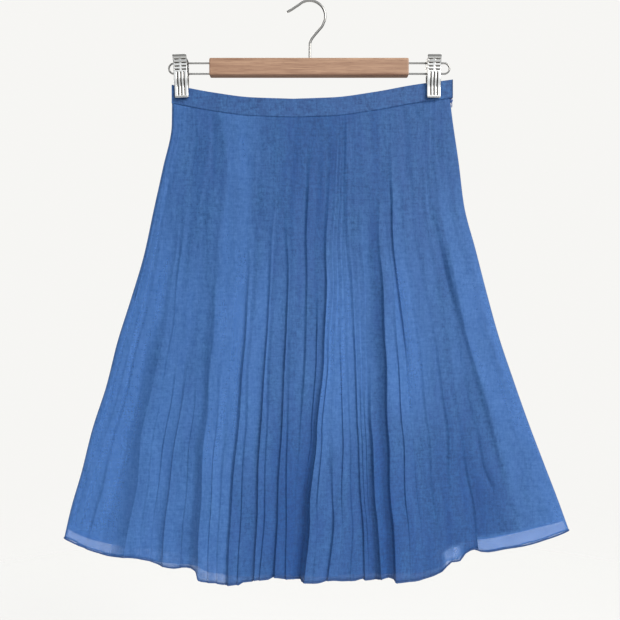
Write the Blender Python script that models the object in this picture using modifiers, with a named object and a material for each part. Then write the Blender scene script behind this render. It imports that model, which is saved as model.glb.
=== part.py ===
"""Pleated skirt on a wooden clip hanger, in metres, +Z up.

The origin is the inner top of the hook, from which it hangs. The skirt's front faces -Y.
"""

import math
from collections import namedtuple

import bmesh
import bpy
from mathutils import Matrix, Vector

# General sizes
GAP = 0.0003                 # clearance between pieces that touch
CLOTH_WALL = 0.0011          # pleated panels
LINING_WALL = 0.0010
BAND_WALL = 0.0024           # two layers, interfacing and seam allowances

# Waistband
BAND_HEIGHT = 0.0238
BAND_LEFT = -0.1760
BAND_RIGHT = 0.1830
BAND_END_OUT = 0.0027        # outer face in front of the middle plane, where the clips hold it
BAND_MIDDLE_OUT = 0.0049
BAND_COLUMNS = 24
SAG_CENTRE = -0.0210         # where the waist hangs lowest
SEAM_LOWEST = -0.1492        # height of the waist seam there

Sag = namedtuple("Sag", "away rise")
WAIST_SAG = (
    Sag(away=0.000, rise=0.0000),
    Sag(away=0.052, rise=0.0019),
    Sag(away=0.105, rise=0.0091),
    Sag(away=0.155, rise=0.0185),
    Sag(away=0.204, rise=0.0253),
)

# Body of the skirt: a row for each level, from the waist seam (down = 0) to the hem (down = 1).
# front and back are the depths of the pleats' inner folds from the middle plane.
Section = namedtuple("Section", "down left right front back")
SECTIONS = (
    Section(down=0.00, left=-0.1760, right=0.1790, front=0.0049, back=0.0049),
    Section(down=0.05, left=-0.1764, right=0.1830, front=0.0056, back=0.0054),
    Section(down=0.15, left=-0.1878, right=0.1910, front=0.0070, back=0.0060),
    Section(down=0.25, left=-0.2000, right=0.1980, front=0.0083, back=0.0064),
    Section(down=0.35, left=-0.2120, right=0.2125, front=0.0095, back=0.0067),
    Section(down=0.45, left=-0.2285, right=0.2267, front=0.0106, back=0.0069),
    Section(down=0.55, left=-0.2460, right=0.2420, front=0.0115, back=0.0071),
    Section(down=0.65, left=-0.2600, right=0.2605, front=0.0122, back=0.0073),
    Section(down=0.75, left=-0.2780, right=0.2800, front=0.0128, back=0.0075),
    Section(down=0.85, left=-0.2920, right=0.3010, front=0.0132, back=0.0076),
    Section(down=0.93, left=-0.3050, right=0.3180, front=0.0134, back=0.0077),
    Section(down=1.00, left=-0.3140, right=0.3320, front=0.0135, back=0.0078),
)
HEM_WIDTH = SECTIONS[-1].right - SECTIONS[-1].left
SEAM_OUT = 0.00095           # outer edge of a panel at the side seam
ROLL_OUT = 0.00175           # how far the cloth rolls out beside that seam
ROLL_REACH = 0.0010
EDGE_INSETS = (0.0009, 0.0035)   # extra columns beside the seam, for the roll
FOLDS_REACH = 0.012          # nearer to the seam than this, the pleats and folds fade out
BULGE_FROM = 0.06            # share of the width where the fullness begins at the waist
BULGE_OVER = 0.32            # and the share over which it grows
BULGE_POWER = 2.4            # how squarely it fills the hem
BULGE_LEVEL = 0.35           # share of the length where the hem's shape takes over

# Hem: how far below the origin it hangs, across the skirt from left (0) to right (1)
Hem = namedtuple("Hem", "across drop")
FRONT_HEM = (
    Hem(across=0.000, drop=0.6880),
    Hem(across=0.050, drop=0.6990),
    Hem(across=0.115, drop=0.7070),
    Hem(across=0.185, drop=0.7150),
    Hem(across=0.255, drop=0.7230),
    Hem(across=0.275, drop=0.7335),
    Hem(across=0.350, drop=0.7365),
    Hem(across=0.450, drop=0.7350),
    Hem(across=0.600, drop=0.7345),
    Hem(across=0.730, drop=0.7305),
    Hem(across=0.775, drop=0.7160),
    Hem(across=0.815, drop=0.7035),
    Hem(across=0.860, drop=0.7015),
    Hem(across=0.930, drop=0.6920),
    Hem(across=1.000, drop=0.6790),
)
BACK_HEM = (
    Hem(across=0.00, drop=0.6880),
    Hem(across=0.10, drop=0.7120),
    Hem(across=0.19, drop=0.7260),
    Hem(across=0.30, drop=0.7350),
    Hem(across=0.50, drop=0.7390),
    Hem(across=0.70, drop=0.7350),
    Hem(across=0.78, drop=0.7160),
    Hem(across=0.86, drop=0.7025),
    Hem(across=0.93, drop=0.6920),
    Hem(across=1.00, drop=0.6790),
)

# Pleats: line n is the inner fold on the left of pleat n. A row says how far across line n lies.
PLEATS = 42                  # on the front, and as many on the back
PLEAT_PEAK = 0.3             # where a pleat stands furthest out, as a share of its width
PLEAT_DEPTH_WAIST = 0.00035
PLEAT_DEPTH_HEM = 0.0044
PLEAT_OPENS = 0.08           # share of the length where the pleats begin to open
PLEAT_OPEN = 0.72            # share of the length where they are fully open
NARROW_PLEAT = 0.62          # every second pleat is this much shallower

Fan = namedtuple("Fan", "line waist middle hem")
FRONT_FAN = (
    Fan(line=0, waist=0.000, middle=0.000, hem=0.000),
    Fan(line=10, waist=0.145, middle=0.240, hem=0.269),
    Fan(line=13, waist=0.290, middle=0.328, hem=0.329),
    Fan(line=17, waist=0.430, middle=0.436, hem=0.420),
    Fan(line=19, waist=0.495, middle=0.487, hem=0.4675),
    Fan(line=21, waist=0.575, middle=0.539, hem=0.4815),
    Fan(line=26, waist=0.638, middle=0.624, hem=0.588),
    Fan(line=28, waist=0.742, middle=0.703, hem=0.654),
    Fan(line=29, waist=0.785, middle=0.745, hem=0.679),
    Fan(line=35, waist=0.900, middle=0.875, hem=0.835),
    Fan(line=42, waist=1.000, middle=1.000, hem=1.000),
)
BACK_FAN = (
    Fan(line=0, waist=0.000, middle=0.000, hem=0.000),
    Fan(line=9, waist=0.170, middle=0.205, hem=0.222),
    Fan(line=18, waist=0.410, middle=0.425, hem=0.431),
    Fan(line=26, waist=0.630, middle=0.612, hem=0.602),
    Fan(line=34, waist=0.860, middle=0.829, hem=0.806),
    Fan(line=42, waist=1.000, middle=1.000, hem=1.000),
)

# How deep the pleats are from side to side: nearly pulled flat at the side seams
Relief = namedtuple("Relief", "line share")
RELIEF = (
    Relief(line=0, share=0.30),
    Relief(line=8, share=0.45),
    Relief(line=12, share=0.95),
    Relief(line=20, share=1.00),
    Relief(line=29, share=1.00),
    Relief(line=34, share=0.55),
    Relief(line=42, share=0.30),
)

# Large folds: the cloth sinks on the left of the line and stands out on its right
Fold = namedtuple("Fold", "line start end sink sink_width rise rise_width")
FRONT_FOLDS = (
    Fold(line=4, start=0.45, end=1.4, sink=0.0026, sink_width=1.2, rise=0.0000, rise_width=1.0),
    Fold(line=7, start=0.40, end=1.4, sink=0.0014, sink_width=0.8, rise=0.0010, rise_width=1.5),
    Fold(line=10, start=0.25, end=1.4, sink=0.0026, sink_width=2.2, rise=0.0036, rise_width=3.0),
    Fold(line=21, start=0.18, end=1.4, sink=0.0076, sink_width=1.9, rise=0.0028, rise_width=3.2),
    Fold(line=27, start=0.35, end=1.4, sink=0.0030, sink_width=1.0, rise=0.0000, rise_width=1.0),
    Fold(line=28, start=0.12, end=1.4, sink=0.0034, sink_width=0.7, rise=0.0020, rise_width=3.0),
    Fold(line=35, start=0.70, end=1.4, sink=0.0034, sink_width=1.0, rise=0.0000, rise_width=1.0),
    Fold(line=38, start=0.30, end=0.8, sink=0.0024, sink_width=0.8, rise=0.0008, rise_width=1.0),
)
BACK_FOLDS = (
    Fold(line=6, start=0.35, end=1.4, sink=0.0014, sink_width=1.4, rise=0.0020, rise_width=2.0),
    Fold(line=15, start=0.20, end=1.4, sink=0.0022, sink_width=1.2, rise=0.0032, rise_width=2.6),
    Fold(line=23, start=0.30, end=1.4, sink=0.0018, sink_width=1.0, rise=0.0022, rise_width=2.2),
    Fold(line=32, start=0.22, end=1.4, sink=0.0020, sink_width=1.4, rise=0.0030, rise_width=2.4),
    Fold(line=38, start=0.45, end=1.4, sink=0.0012, sink_width=1.0, rise=0.0012, rise_width=1.6),
)
PANEL_LEVELS = (0.0, 0.04, 0.12, 0.20, 0.30, 0.40, 0.50, 0.60, 0.70, 0.80, 0.90, 1.0)

# Lining
LINING_INSET = 0.0060        # from the side seam
LINING_SHORTER = 0.0295      # share of the skirt's length that it ends above the hem
LINING_END_OUT = 0.0013
LINING_MIDDLE_OUT = 0.0035
LINING_COLUMNS = 20

# Bar
BAR_LEFT = -0.1278
BAR_RIGHT = 0.1264
BAR_TOP = -0.0734
BAR_BOTTOM = -0.0959
BAR_DEPTH = 0.0120
BAR_ROUND = 0.0016
SOCKET_DEPTH = 0.0125        # holes in the bar for the rails and the hook
WIRE_REACH = 0.0115          # how far the wires go into them

# Hook
HOOK_WIRE = 0.0032
HOOK_RADIUS = 0.0200         # of the wire's middle line
HOOK_CENTRE = -0.0184
HOOK_ARC_FROM = 132.0        # degrees, from +X, on the open side
HOOK_ARC_TO = -24.0
HOOK_ARC_STEPS = 18
STEM_X = 0.0003
Spot = namedtuple("Spot", "x z")
HOOK_TIP = (Spot(-0.0289, -0.0131), Spot(-0.0240, -0.0106), Spot(-0.0192, -0.0074))
HOOK_NECK = (
    Spot(0.0161, -0.0313),
    Spot(0.0113, -0.0370),
    Spot(0.0063, -0.0429),
    Spot(0.0029, -0.0475),
    Spot(0.0009, -0.0520),
    Spot(0.0003, -0.0570),
)

# Rails: a wire loop at each end of the bar, which carries the clips
RAIL_WIRE = 0.0023
RAIL_TOP = -0.0787
RAIL_BOTTOM = -0.0923
RAIL_LEFT_END = -0.1800      # middle line of the wire
RAIL_RIGHT_END = 0.1791
RAIL_TURN_STEPS = 8

# Clips, each in its own frame with the pin at the origin
PIN_HEIGHT = (RAIL_TOP + RAIL_BOTTOM) / 2
RAIL_OFFSET = (RAIL_TOP - RAIL_BOTTOM) / 2
Clip = namedtuple("Clip", "name x lean")
CLIPS = (Clip("clip_left", -0.1640, 2.0), Clip("clip_right", 0.1580, 0.0))
JAW_WIDTH = 0.0176
JAW_THICKNESS = 0.0010
Bend = namedtuple("Bend", "out up")
JAW_PROFILE = (
    Bend(out=0.0063, up=-0.0388),
    Bend(out=0.0053, up=-0.0368),
    Bend(out=0.0053, up=-0.0265),
    Bend(out=0.0074, up=-0.0140),
    Bend(out=0.0079, up=0.0010),
    Bend(out=0.0094, up=0.0070),
    Bend(out=0.0122, up=0.0134),
)
BACK_JAW_WIDTH = 0.0156
EAR_THICKNESS = 0.0010
FRONT_EAR_HEIGHT = 0.0200
BACK_EAR_HEIGHT = 0.0080
EAR_REACH = 0.0032           # past the pin, towards the other jaw
RAIL_HOLE_RADIUS = 0.0019
PIN_RADIUS = 0.0010
PIN_HEAD_RADIUS = 0.0017
PIN_HEAD_WIDTH = 0.0005
SPRING_RADIUS = 0.0034
SPRING_WIDTH = 0.0112
RIDGE_PROUD = 0.0005         # of the upright ridges and the level ribs
RIDGE_COUNT = 4              # upright ridges on the jaw
RIDGE_WIDTH = 0.0025
RIDGE_PITCH = 0.0041
RIDGE_LEVELS = (-0.0364, -0.0265, -0.0140, -0.0064)   # its ends, and the bends between them
RIB_COUNT = 4                # level ribs where the thumb presses, in two columns
RIB_HEIGHT = 0.0025
RIB_WIDTH = 0.0066
RIB_PITCH = 0.0041
RIB_FIRST = -0.0017
PAD_THICKNESS = 0.0015
PAD_WIDTH = 0.0158
PAD_LOW = -0.0384
PAD_HIGH = -0.0270

# Side zip: the slider sits on the right side seam, just under the waistband
SLIDER_HEIGHT = 0.0050
SLIDER_WIDTH = 0.0038
SLIDER_THICKNESS = 0.0011
SLIDER_X = 0.1800
BRIDGE_WIDTH = 0.0012
BRIDGE_WALL = 0.0006
BRIDGE_WINDOW = 0.0017
BRIDGE_BELOW_TOP = 0.0020    # its middle, below the slider's top
PULL_LENGTH = 0.0086         # below the hinge
PULL_WIDTH = 0.0040
PULL_THICKNESS = 0.0008
PULL_EYE_WIDTH = 0.0022
PULL_EYE_LENGTH = 0.0027

COLLECTION = "pleated_skirt"


def smooth(share):
    """Ease from 0 to 1."""
    t = min(max(share, 0.0), 1.0)
    return t * t * (3.0 - 2.0 * t)


def mix(first, second, share):
    return first + (second - first) * share


def read(table, key, column, at):
    """Value of a column where the key column is at, on a smooth curve that never overshoots."""
    keys = [getattr(row, key) for row in table]
    values = [getattr(row, column) for row in table]
    if at <= keys[0]:
        return values[0]
    if at >= keys[-1]:
        return values[-1]
    slopes = [(values[i + 1] - values[i]) / (keys[i + 1] - keys[i]) for i in range(len(keys) - 1)]

    def tangent(i):
        if i == 0:
            return slopes[0]
        if i == len(keys) - 1:
            return slopes[-1]
        if slopes[i - 1] * slopes[i] <= 0.0:
            return 0.0
        return 2.0 * slopes[i - 1] * slopes[i] / (slopes[i - 1] + slopes[i])

    i = max(n for n in range(len(keys) - 1) if keys[n] <= at)
    span = keys[i + 1] - keys[i]
    t = (at - keys[i]) / span
    return (
        values[i] * (1 + 2 * t) * (1 - t) ** 2
        + values[i + 1] * t * t * (3 - 2 * t)
        + tangent(i) * span * t * (1 - t) ** 2
        - tangent(i + 1) * span * t * t * (1 - t)
    )


def seam_height(x):
    """Height of the waist seam at x."""
    return SEAM_LOWEST + read(WAIST_SAG, "away", "rise", abs(x - SAG_CENTRE))


def across(fan, line, down):
    """Where a pleat line lies from left (0) to right (1), on a parabola through three levels."""
    waist, middle, hem = (read(fan, "line", column, line) for column in ("waist", "middle", "hem"))
    return (
        2 * waist * (down - 0.5) * (down - 1)
        - 4 * middle * down * (down - 1)
        + 2 * hem * down * (down - 0.5)
    )


def bulge(u, down):
    """How full the flat-hanging skirt is across its width: 0 at the sides, 1 in the middle."""
    at_waist = smooth((min(u, 1 - u) - BULGE_FROM) / BULGE_OVER)
    at_hem = 1.0 - abs(2 * u - 1) ** BULGE_POWER
    return mix(at_waist, at_hem, smooth(down / BULGE_LEVEL))


def place_x(u, down):
    left = read(SECTIONS, "down", "left", down)
    right = read(SECTIONS, "down", "right", down)
    return mix(left, right, u), min(u, 1 - u) * (right - left)


def base_out(u, down, edge, depth_column):
    """Depth of the panel's outer face at its inner folds."""
    roll = SEAM_OUT + ROLL_OUT * (1.0 - math.exp(-edge / ROLL_REACH))
    middle = read(SECTIONS, "down", depth_column, down)
    return roll + (middle - SEAM_OUT - ROLL_OUT) * bulge(u, down)


def pleat_out(line, down):
    """How far a pleat stands out of its inner folds."""
    number = math.floor(line)
    share = line - number
    if share == 0.0:
        return 0.0
    opened = smooth((down - PLEAT_OPENS) / (PLEAT_OPEN - PLEAT_OPENS))
    depth = mix(PLEAT_DEPTH_WAIST, PLEAT_DEPTH_HEM, opened)
    if number % 2 == 0:
        depth *= NARROW_PLEAT
    return depth * read(RELIEF, "line", "share", line)


def fold_out(folds, line, down):
    """Sum of the large folds at a pleat line."""
    total = 0.0
    for fold in folds:
        grown = smooth((down - fold.start) / (1.0 - fold.start))
        faded = 1.0 - smooth((down - fold.end + 0.2) / 0.2)
        away = line - fold.line
        if away <= 0.0:
            push = -fold.sink * math.exp(-((away / fold.sink_width) ** 2))
        else:
            push = fold.rise * math.exp(-(((away - PLEAT_PEAK) / fold.rise_width) ** 2))
        total += push * grown * faded
    return total


Panel = namedtuple("Panel", "name side depth fan folds hem")
FRONT = Panel("front", -1, "front", FRONT_FAN, FRONT_FOLDS, FRONT_HEM)
BACK = Panel("back", 1, "back", BACK_FAN, BACK_FOLDS, BACK_HEM)


def level_height(x_at_waist, hem_across, hem, down):
    top = seam_height(x_at_waist) - GAP
    bottom = -read(hem, "across", "drop", hem_across)
    return mix(top, bottom, down)


def panel_point(panel, line, inset, down):
    """A point of a pleated panel's outer face."""
    u = across(panel.fan, line, down)
    x, edge = place_x(u, down)
    x += inset
    edge += abs(inset)
    waist_x, _ = place_x(across(panel.fan, line, 0.0), 0.0)
    hem_u = across(panel.fan, line, 1.0) + inset / HEM_WIDTH
    z = level_height(waist_x + inset, hem_u, panel.hem, down)
    relief = smooth(edge / FOLDS_REACH)
    out = base_out(u, down, edge, panel.depth)
    out += relief * (pleat_out(line, down) + fold_out(panel.folds, line, down))
    return Vector((x, panel.side * out, z))


def lining_point(panel, share, level):
    """A point of a lining's outer face."""
    down = level * (1.0 - LINING_SHORTER)
    left = read(SECTIONS, "down", "left", down) + LINING_INSET
    right = read(SECTIONS, "down", "right", down) - LINING_INSET
    x = mix(left, right, share)
    u = mix(LINING_INSET, right - left + LINING_INSET, share) / (right - left + 2 * LINING_INSET)
    waist_x, _ = place_x(u, 0.0)
    z = level_height(waist_x, u, panel.hem, down)
    out = mix(LINING_END_OUT, LINING_MIDDLE_OUT, bulge(u, down))
    return Vector((x, panel.side * out, z))


def band_point(panel, share, up):
    x = mix(BAND_LEFT, BAND_RIGHT, share)
    out = mix(BAND_END_OUT, BAND_MIDDLE_OUT, bulge(share, 0.0))
    return Vector((x, panel.side * out, seam_height(x) + GAP / 2 + up * BAND_HEIGHT))


def material(name, srgb, roughness, metallic=0.0):
    """Principled material from an sRGB colour of 0 to 255."""
    surface = bpy.data.materials.new(name)
    surface.use_nodes = True
    shader = surface.node_tree.nodes["Principled BSDF"]
    linear = [((c / 255 + 0.055) / 1.055) ** 2.4 for c in srgb]
    shader.inputs["Base Color"].default_value = (*linear, 1.0)
    shader.inputs["Roughness"].default_value = roughness
    shader.inputs["Metallic"].default_value = metallic
    surface.diffuse_color = (*linear, 1.0)
    return surface


def put(obj, collection, surface=None):
    collection.objects.link(obj)
    if surface:
        obj.data.materials.append(surface)
    return obj


def object_from(name, mesh_builder):
    """New mesh object from a bmesh that the given function fills."""
    bm = bmesh.new()
    mesh_builder(bm)
    mesh = bpy.data.meshes.new(name)
    bm.to_mesh(mesh)
    bm.free()
    return bpy.data.objects.new(name, mesh)


def grid_object(name, columns, rows, point):
    """Open sheet whose face normals follow rows crossed with columns."""

    def build(bm):
        verts = [[bm.verts.new(point(column, row)) for column in columns] for row in rows]
        for r in range(len(rows) - 1):
            for c in range(len(columns) - 1):
                bm.faces.new((verts[r][c], verts[r + 1][c], verts[r + 1][c + 1], verts[r][c + 1]))

    return object_from(name, build)


def box_object(name, low, high):
    size = Vector(high) - Vector(low)
    middle = (Vector(high) + Vector(low)) / 2

    def build(bm):
        place = Matrix.Translation(middle) @ Matrix.Diagonal((*size, 1.0))
        bmesh.ops.create_cube(bm, size=1.0, matrix=place)

    return object_from(name, build)


def boxes_object(name, boxes):
    """One object with several separate boxes, each a (middle, size, turn about X) triple."""

    def build(bm):
        for middle, size, turn in boxes:
            place = Matrix.Translation(middle) @ Matrix.Rotation(turn, 4, "X")
            place = place @ Matrix.Diagonal((*size, 1.0))
            bmesh.ops.create_cube(bm, size=1.0, matrix=place)

    return object_from(name, build)


def rods_object(name, rods, segments=12):
    """One object with several round rods, each a (middle, axis, radius, length) tuple."""

    def build(bm):
        for middle, axis, radius, length in rods:
            turn = Vector((0, 0, 1)).rotation_difference(Vector(axis)).to_matrix().to_4x4()
            bmesh.ops.create_cone(
                bm,
                cap_ends=True,
                segments=segments,
                radius1=radius,
                radius2=radius,
                depth=length,
                matrix=Matrix.Translation(middle) @ turn,
            )

    return object_from(name, build)


def wire_object(name, points, diameter, resolution):
    """Round wire through the points."""
    curve = bpy.data.curves.new(name, "CURVE")
    curve.dimensions = "3D"
    curve.bevel_depth = diameter / 2
    curve.bevel_resolution = resolution
    curve.use_fill_caps = True
    spline = curve.splines.new("POLY")
    spline.points.add(len(points) - 1)
    for slot, point in zip(spline.points, points):
        slot.co = (*point, 1.0)
    return bpy.data.objects.new(name, curve)


def solidify(obj, thickness, offset=-1.0):
    modifier = obj.modifiers.new("Wall", "SOLIDIFY")
    modifier.thickness = thickness
    modifier.offset = offset
    modifier.use_even_offset = True
    modifier.use_quality_normals = True


def bevel(obj, width, segments):
    modifier = obj.modifiers.new("Rounding", "BEVEL")
    modifier.width = width
    modifier.segments = segments
    modifier.limit_method = "ANGLE"


def boolean(obj, other, operation, crossing=False):
    """Cut or join; crossing says that the other object's own bodies overlap each other."""
    modifier = obj.modifiers.new(operation.title(), "BOOLEAN")
    modifier.operation = operation
    modifier.object = other
    modifier.use_self = crossing


def make_cutter(obj, cutters):
    cutters.objects.link(obj)
    obj.hide_render = True
    obj.display_type = "WIRE"
    return obj


def panel_columns():
    """Pleat line and inset of each column of points: an inner fold and a peak for each pleat."""
    columns = [(0, 0.0)] + [(0, inset) for inset in EDGE_INSETS]
    for number in range(1, PLEATS):
        columns.append((number, 0.0))
        columns.append((number + PLEAT_PEAK, 0.0))
    columns += [(PLEATS, -inset) for inset in reversed(EDGE_INSETS)]
    columns.append((PLEATS, 0.0))
    return columns


def facing(panel, columns):
    """Columns in the order that turns the sheet's normals outwards."""
    return columns if panel is FRONT else list(reversed(columns))


def make_skirt(collection, blue, band_blue, lining_blue):
    for panel in (FRONT, BACK):
        cloth = grid_object(
            "skirt_" + panel.name,
            facing(panel, panel_columns()),
            PANEL_LEVELS,
            lambda column, down: panel_point(panel, column[0], column[1], down),
        )
        solidify(put(cloth, collection, blue), CLOTH_WALL)

        lining = grid_object(
            "lining_" + panel.name,
            facing(panel, [n / LINING_COLUMNS for n in range(LINING_COLUMNS + 1)]),
            PANEL_LEVELS,
            lambda share, down: lining_point(panel, share, down),
        )
        solidify(put(lining, collection, lining_blue), LINING_WALL)

        band = grid_object(
            "waistband_" + panel.name,
            facing(panel, [n / BAND_COLUMNS for n in range(BAND_COLUMNS + 1)]),
            (1.0, 0.0),
            lambda share, up: band_point(panel, share, up),
        )
        solidify(put(band, collection, band_blue), BAND_WALL)


def make_bar(collection, cutters, wood):
    bar = box_object(
        "hanger_bar",
        (BAR_LEFT, -BAR_DEPTH / 2, BAR_BOTTOM),
        (BAR_RIGHT, BAR_DEPTH / 2, BAR_TOP),
    )
    put(bar, collection, wood)
    bevel(bar, BAR_ROUND, 2)
    sockets = []
    for end, towards in ((BAR_LEFT, 1), (BAR_RIGHT, -1)):
        for height in (RAIL_TOP, RAIL_BOTTOM):
            middle = Vector((end, 0, height))
            sockets.append((middle, (towards, 0, 0), RAIL_WIRE / 2 + GAP, 2 * SOCKET_DEPTH))
    sockets.append((Vector((STEM_X, 0, BAR_TOP)), (0, 0, 1), HOOK_WIRE / 2 + GAP, 2 * SOCKET_DEPTH))
    boolean(bar, make_cutter(rods_object("bar_sockets", sockets), cutters), "DIFFERENCE")


def make_hook(collection, steel):
    points = [Vector((spot.x, 0, spot.z)) for spot in HOOK_TIP]
    for step in range(HOOK_ARC_STEPS + 1):
        angle = math.radians(mix(HOOK_ARC_FROM, HOOK_ARC_TO, step / HOOK_ARC_STEPS))
        points.append(
            Vector((HOOK_RADIUS * math.cos(angle), 0, HOOK_CENTRE + HOOK_RADIUS * math.sin(angle)))
        )
    points += [Vector((spot.x, 0, spot.z)) for spot in HOOK_NECK]
    points.append(Vector((STEM_X, 0, BAR_TOP - WIRE_REACH)))
    put(wire_object("hanger_hook", points, HOOK_WIRE, 3), collection, steel)


def make_rails(collection, steel):
    for name, bar_end, turn_end in (
        ("rail_left", BAR_LEFT, RAIL_LEFT_END),
        ("rail_right", BAR_RIGHT, RAIL_RIGHT_END),
    ):
        away = math.copysign(1.0, turn_end)
        start = bar_end - away * WIRE_REACH
        turn_x = turn_end - away * RAIL_OFFSET
        points = [Vector((start, 0, RAIL_TOP))]
        for step in range(RAIL_TURN_STEPS + 1):
            angle = math.pi * (0.5 - step / RAIL_TURN_STEPS)
            points.append(
                Vector(
                    (
                        turn_x + away * RAIL_OFFSET * math.cos(angle),
                        0,
                        PIN_HEIGHT + RAIL_OFFSET * math.sin(angle),
                    )
                )
            )
        points.append(Vector((start, 0, RAIL_BOTTOM)))
        put(wire_object(name, points, RAIL_WIRE, 2), collection, steel)


def jaw_plate(name, side, width):
    """Bent plate of a jaw, without its ears."""
    plate = grid_object(
        name,
        (-width / 2, width / 2) if side < 0 else (width / 2, -width / 2),
        tuple(reversed(JAW_PROFILE)),
        lambda x, bend: Vector((x, side * bend.out, bend.up)),
    )
    solidify(plate, JAW_THICKNESS, offset=0.0)
    return plate


def jaw_out(up):
    """How far out the bent plate's middle is at a height: straight between its bends."""
    for low, high in zip(JAW_PROFILE, JAW_PROFILE[1:]):
        if up <= high.up:
            break
    return mix(low.out, high.out, (up - low.up) / (high.up - low.up))


def raised_box(x, low, high, width):
    """Box that stands on the front jaw's plate between two heights, as (middle, size, turn)."""
    out_low, out_high = jaw_out(low), jaw_out(high)
    lean = math.atan2(out_high - out_low, high - low)
    thickness = JAW_THICKNESS / 2 + RIDGE_PROUD
    middle = Vector((x, -(out_low + out_high + thickness) / 2, (low + high) / 2))
    return middle, (width, thickness, math.hypot(out_high - out_low, high - low)), lean


def jaw_relief():
    """Upright ridges and level thumb ribs on the front jaw."""
    boxes = []
    for number in range(RIDGE_COUNT):
        x = (number - (RIDGE_COUNT - 1) / 2) * RIDGE_PITCH
        for low, high in zip(RIDGE_LEVELS, RIDGE_LEVELS[1:]):
            boxes.append(raised_box(x, low, high, RIDGE_WIDTH))
    for number in range(RIB_COUNT):
        up = RIB_FIRST + number * RIB_PITCH
        for x in (-JAW_WIDTH / 4, JAW_WIDTH / 4):
            boxes.append(raised_box(x, up - RIB_HEIGHT / 2, up + RIB_HEIGHT / 2, RIB_WIDTH))
    return boxes


def make_front_jaw(clip, collection, cutters, steel, pivot):
    jaw = jaw_plate(clip.name + "_front_jaw", -1, JAW_WIDTH)
    put(jaw, collection, steel).parent = pivot
    ear_x = JAW_WIDTH / 2 - EAR_THICKNESS / 2
    plate_out = jaw_out(0.0)
    depth = plate_out + EAR_REACH
    ears = [
        (Vector((x, (EAR_REACH - plate_out) / 2, 0)), (EAR_THICKNESS, depth, FRONT_EAR_HEIGHT), 0.0)
        for x in (-ear_x, ear_x)
    ]
    relief = boxes_object(clip.name + "_relief", jaw_relief())
    holes = [
        (Vector((0, 0, 0)), (1, 0, 0), PIN_RADIUS + GAP, 2 * JAW_WIDTH),
        (Vector((0, 0, RAIL_OFFSET)), (1, 0, 0), RAIL_HOLE_RADIUS, 2 * JAW_WIDTH),
        (Vector((0, 0, -RAIL_OFFSET)), (1, 0, 0), RAIL_HOLE_RADIUS, 2 * JAW_WIDTH),
    ]
    for other, operation in (
        (boxes_object(clip.name + "_front_ears", ears), "UNION"),
        (relief, "UNION"),
        (rods_object(clip.name + "_front_holes", holes), "DIFFERENCE"),
    ):
        make_cutter(other, cutters).parent = pivot
        boolean(jaw, other, operation, crossing=other is relief)


def make_back_jaw(clip, collection, cutters, steel, pivot):
    jaw = jaw_plate(clip.name + "_back_jaw", 1, BACK_JAW_WIDTH)
    put(jaw, collection, steel).parent = pivot
    ear_x = JAW_WIDTH / 2 - 1.5 * EAR_THICKNESS - GAP
    plate_out = jaw_out(0.0)
    depth = plate_out + EAR_REACH
    ears = [
        (Vector((x, (plate_out - EAR_REACH) / 2, 0)), (EAR_THICKNESS, depth, BACK_EAR_HEIGHT), 0.0)
        for x in (-ear_x, ear_x)
    ]
    hole = [(Vector((0, 0, 0)), (1, 0, 0), PIN_RADIUS + GAP, 2 * JAW_WIDTH)]
    for other, operation in (
        (boxes_object(clip.name + "_back_ears", ears), "UNION"),
        (rods_object(clip.name + "_back_holes", hole), "DIFFERENCE"),
    ):
        make_cutter(other, cutters).parent = pivot
        boolean(jaw, other, operation)


def make_pin(clip, collection, steel, pivot):
    """Pin with its coil spring, turned about X as one solid."""
    half = JAW_WIDTH / 2 + GAP
    end = half + PIN_HEAD_WIDTH
    profile = (
        (end, 0.0),
        (end, PIN_HEAD_RADIUS),
        (half, PIN_HEAD_RADIUS),
        (half, PIN_RADIUS),
        (SPRING_WIDTH / 2, PIN_RADIUS),
        (SPRING_WIDTH / 2, SPRING_RADIUS),
        (-SPRING_WIDTH / 2, SPRING_RADIUS),
        (-SPRING_WIDTH / 2, PIN_RADIUS),
        (-half, PIN_RADIUS),
        (-half, PIN_HEAD_RADIUS),
        (-end, PIN_HEAD_RADIUS),
        (-end, 0.0),
    )

    def build(bm):
        verts = [bm.verts.new((radius, 0, along)) for along, radius in profile]
        for first, second in zip(verts, verts[1:]):
            bm.edges.new((first, second))

    pin = object_from(clip.name + "_pin", build)
    turned = pin.modifiers.new("Turned", "SCREW")
    turned.steps = 12
    turned.render_steps = 12
    turned.use_merge_vertices = True
    turned.merge_threshold = 0.00001
    put(pin, collection, steel)
    pin.rotation_euler = (0, math.pi / 2, 0)
    pin.parent = pivot


def make_pads(clip, collection, rubber, pivot):
    inner = jaw_out(PAD_HIGH) - JAW_THICKNESS / 2 - GAP
    for word, side in (("front", -1), ("back", 1)):
        near = side * inner
        far = side * (inner - PAD_THICKNESS)
        pad = box_object(
            "{}_{}_pad".format(clip.name, word),
            (-PAD_WIDTH / 2, min(near, far), PAD_LOW),
            (PAD_WIDTH / 2, max(near, far), PAD_HIGH),
        )
        put(pad, collection, rubber).parent = pivot


def make_clips(collection, cutters, steel, rubber):
    for clip in CLIPS:
        pivot = bpy.data.objects.new(clip.name + "_pivot", None)
        pivot.location = (clip.x, 0, PIN_HEIGHT)
        pivot.rotation_euler = (0, -math.radians(clip.lean), 0)
        collection.objects.link(pivot)
        make_front_jaw(clip, collection, cutters, steel, pivot)
        make_back_jaw(clip, collection, cutters, steel, pivot)
        make_pin(clip, collection, steel, pivot)
        make_pads(clip, collection, rubber, pivot)


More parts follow.
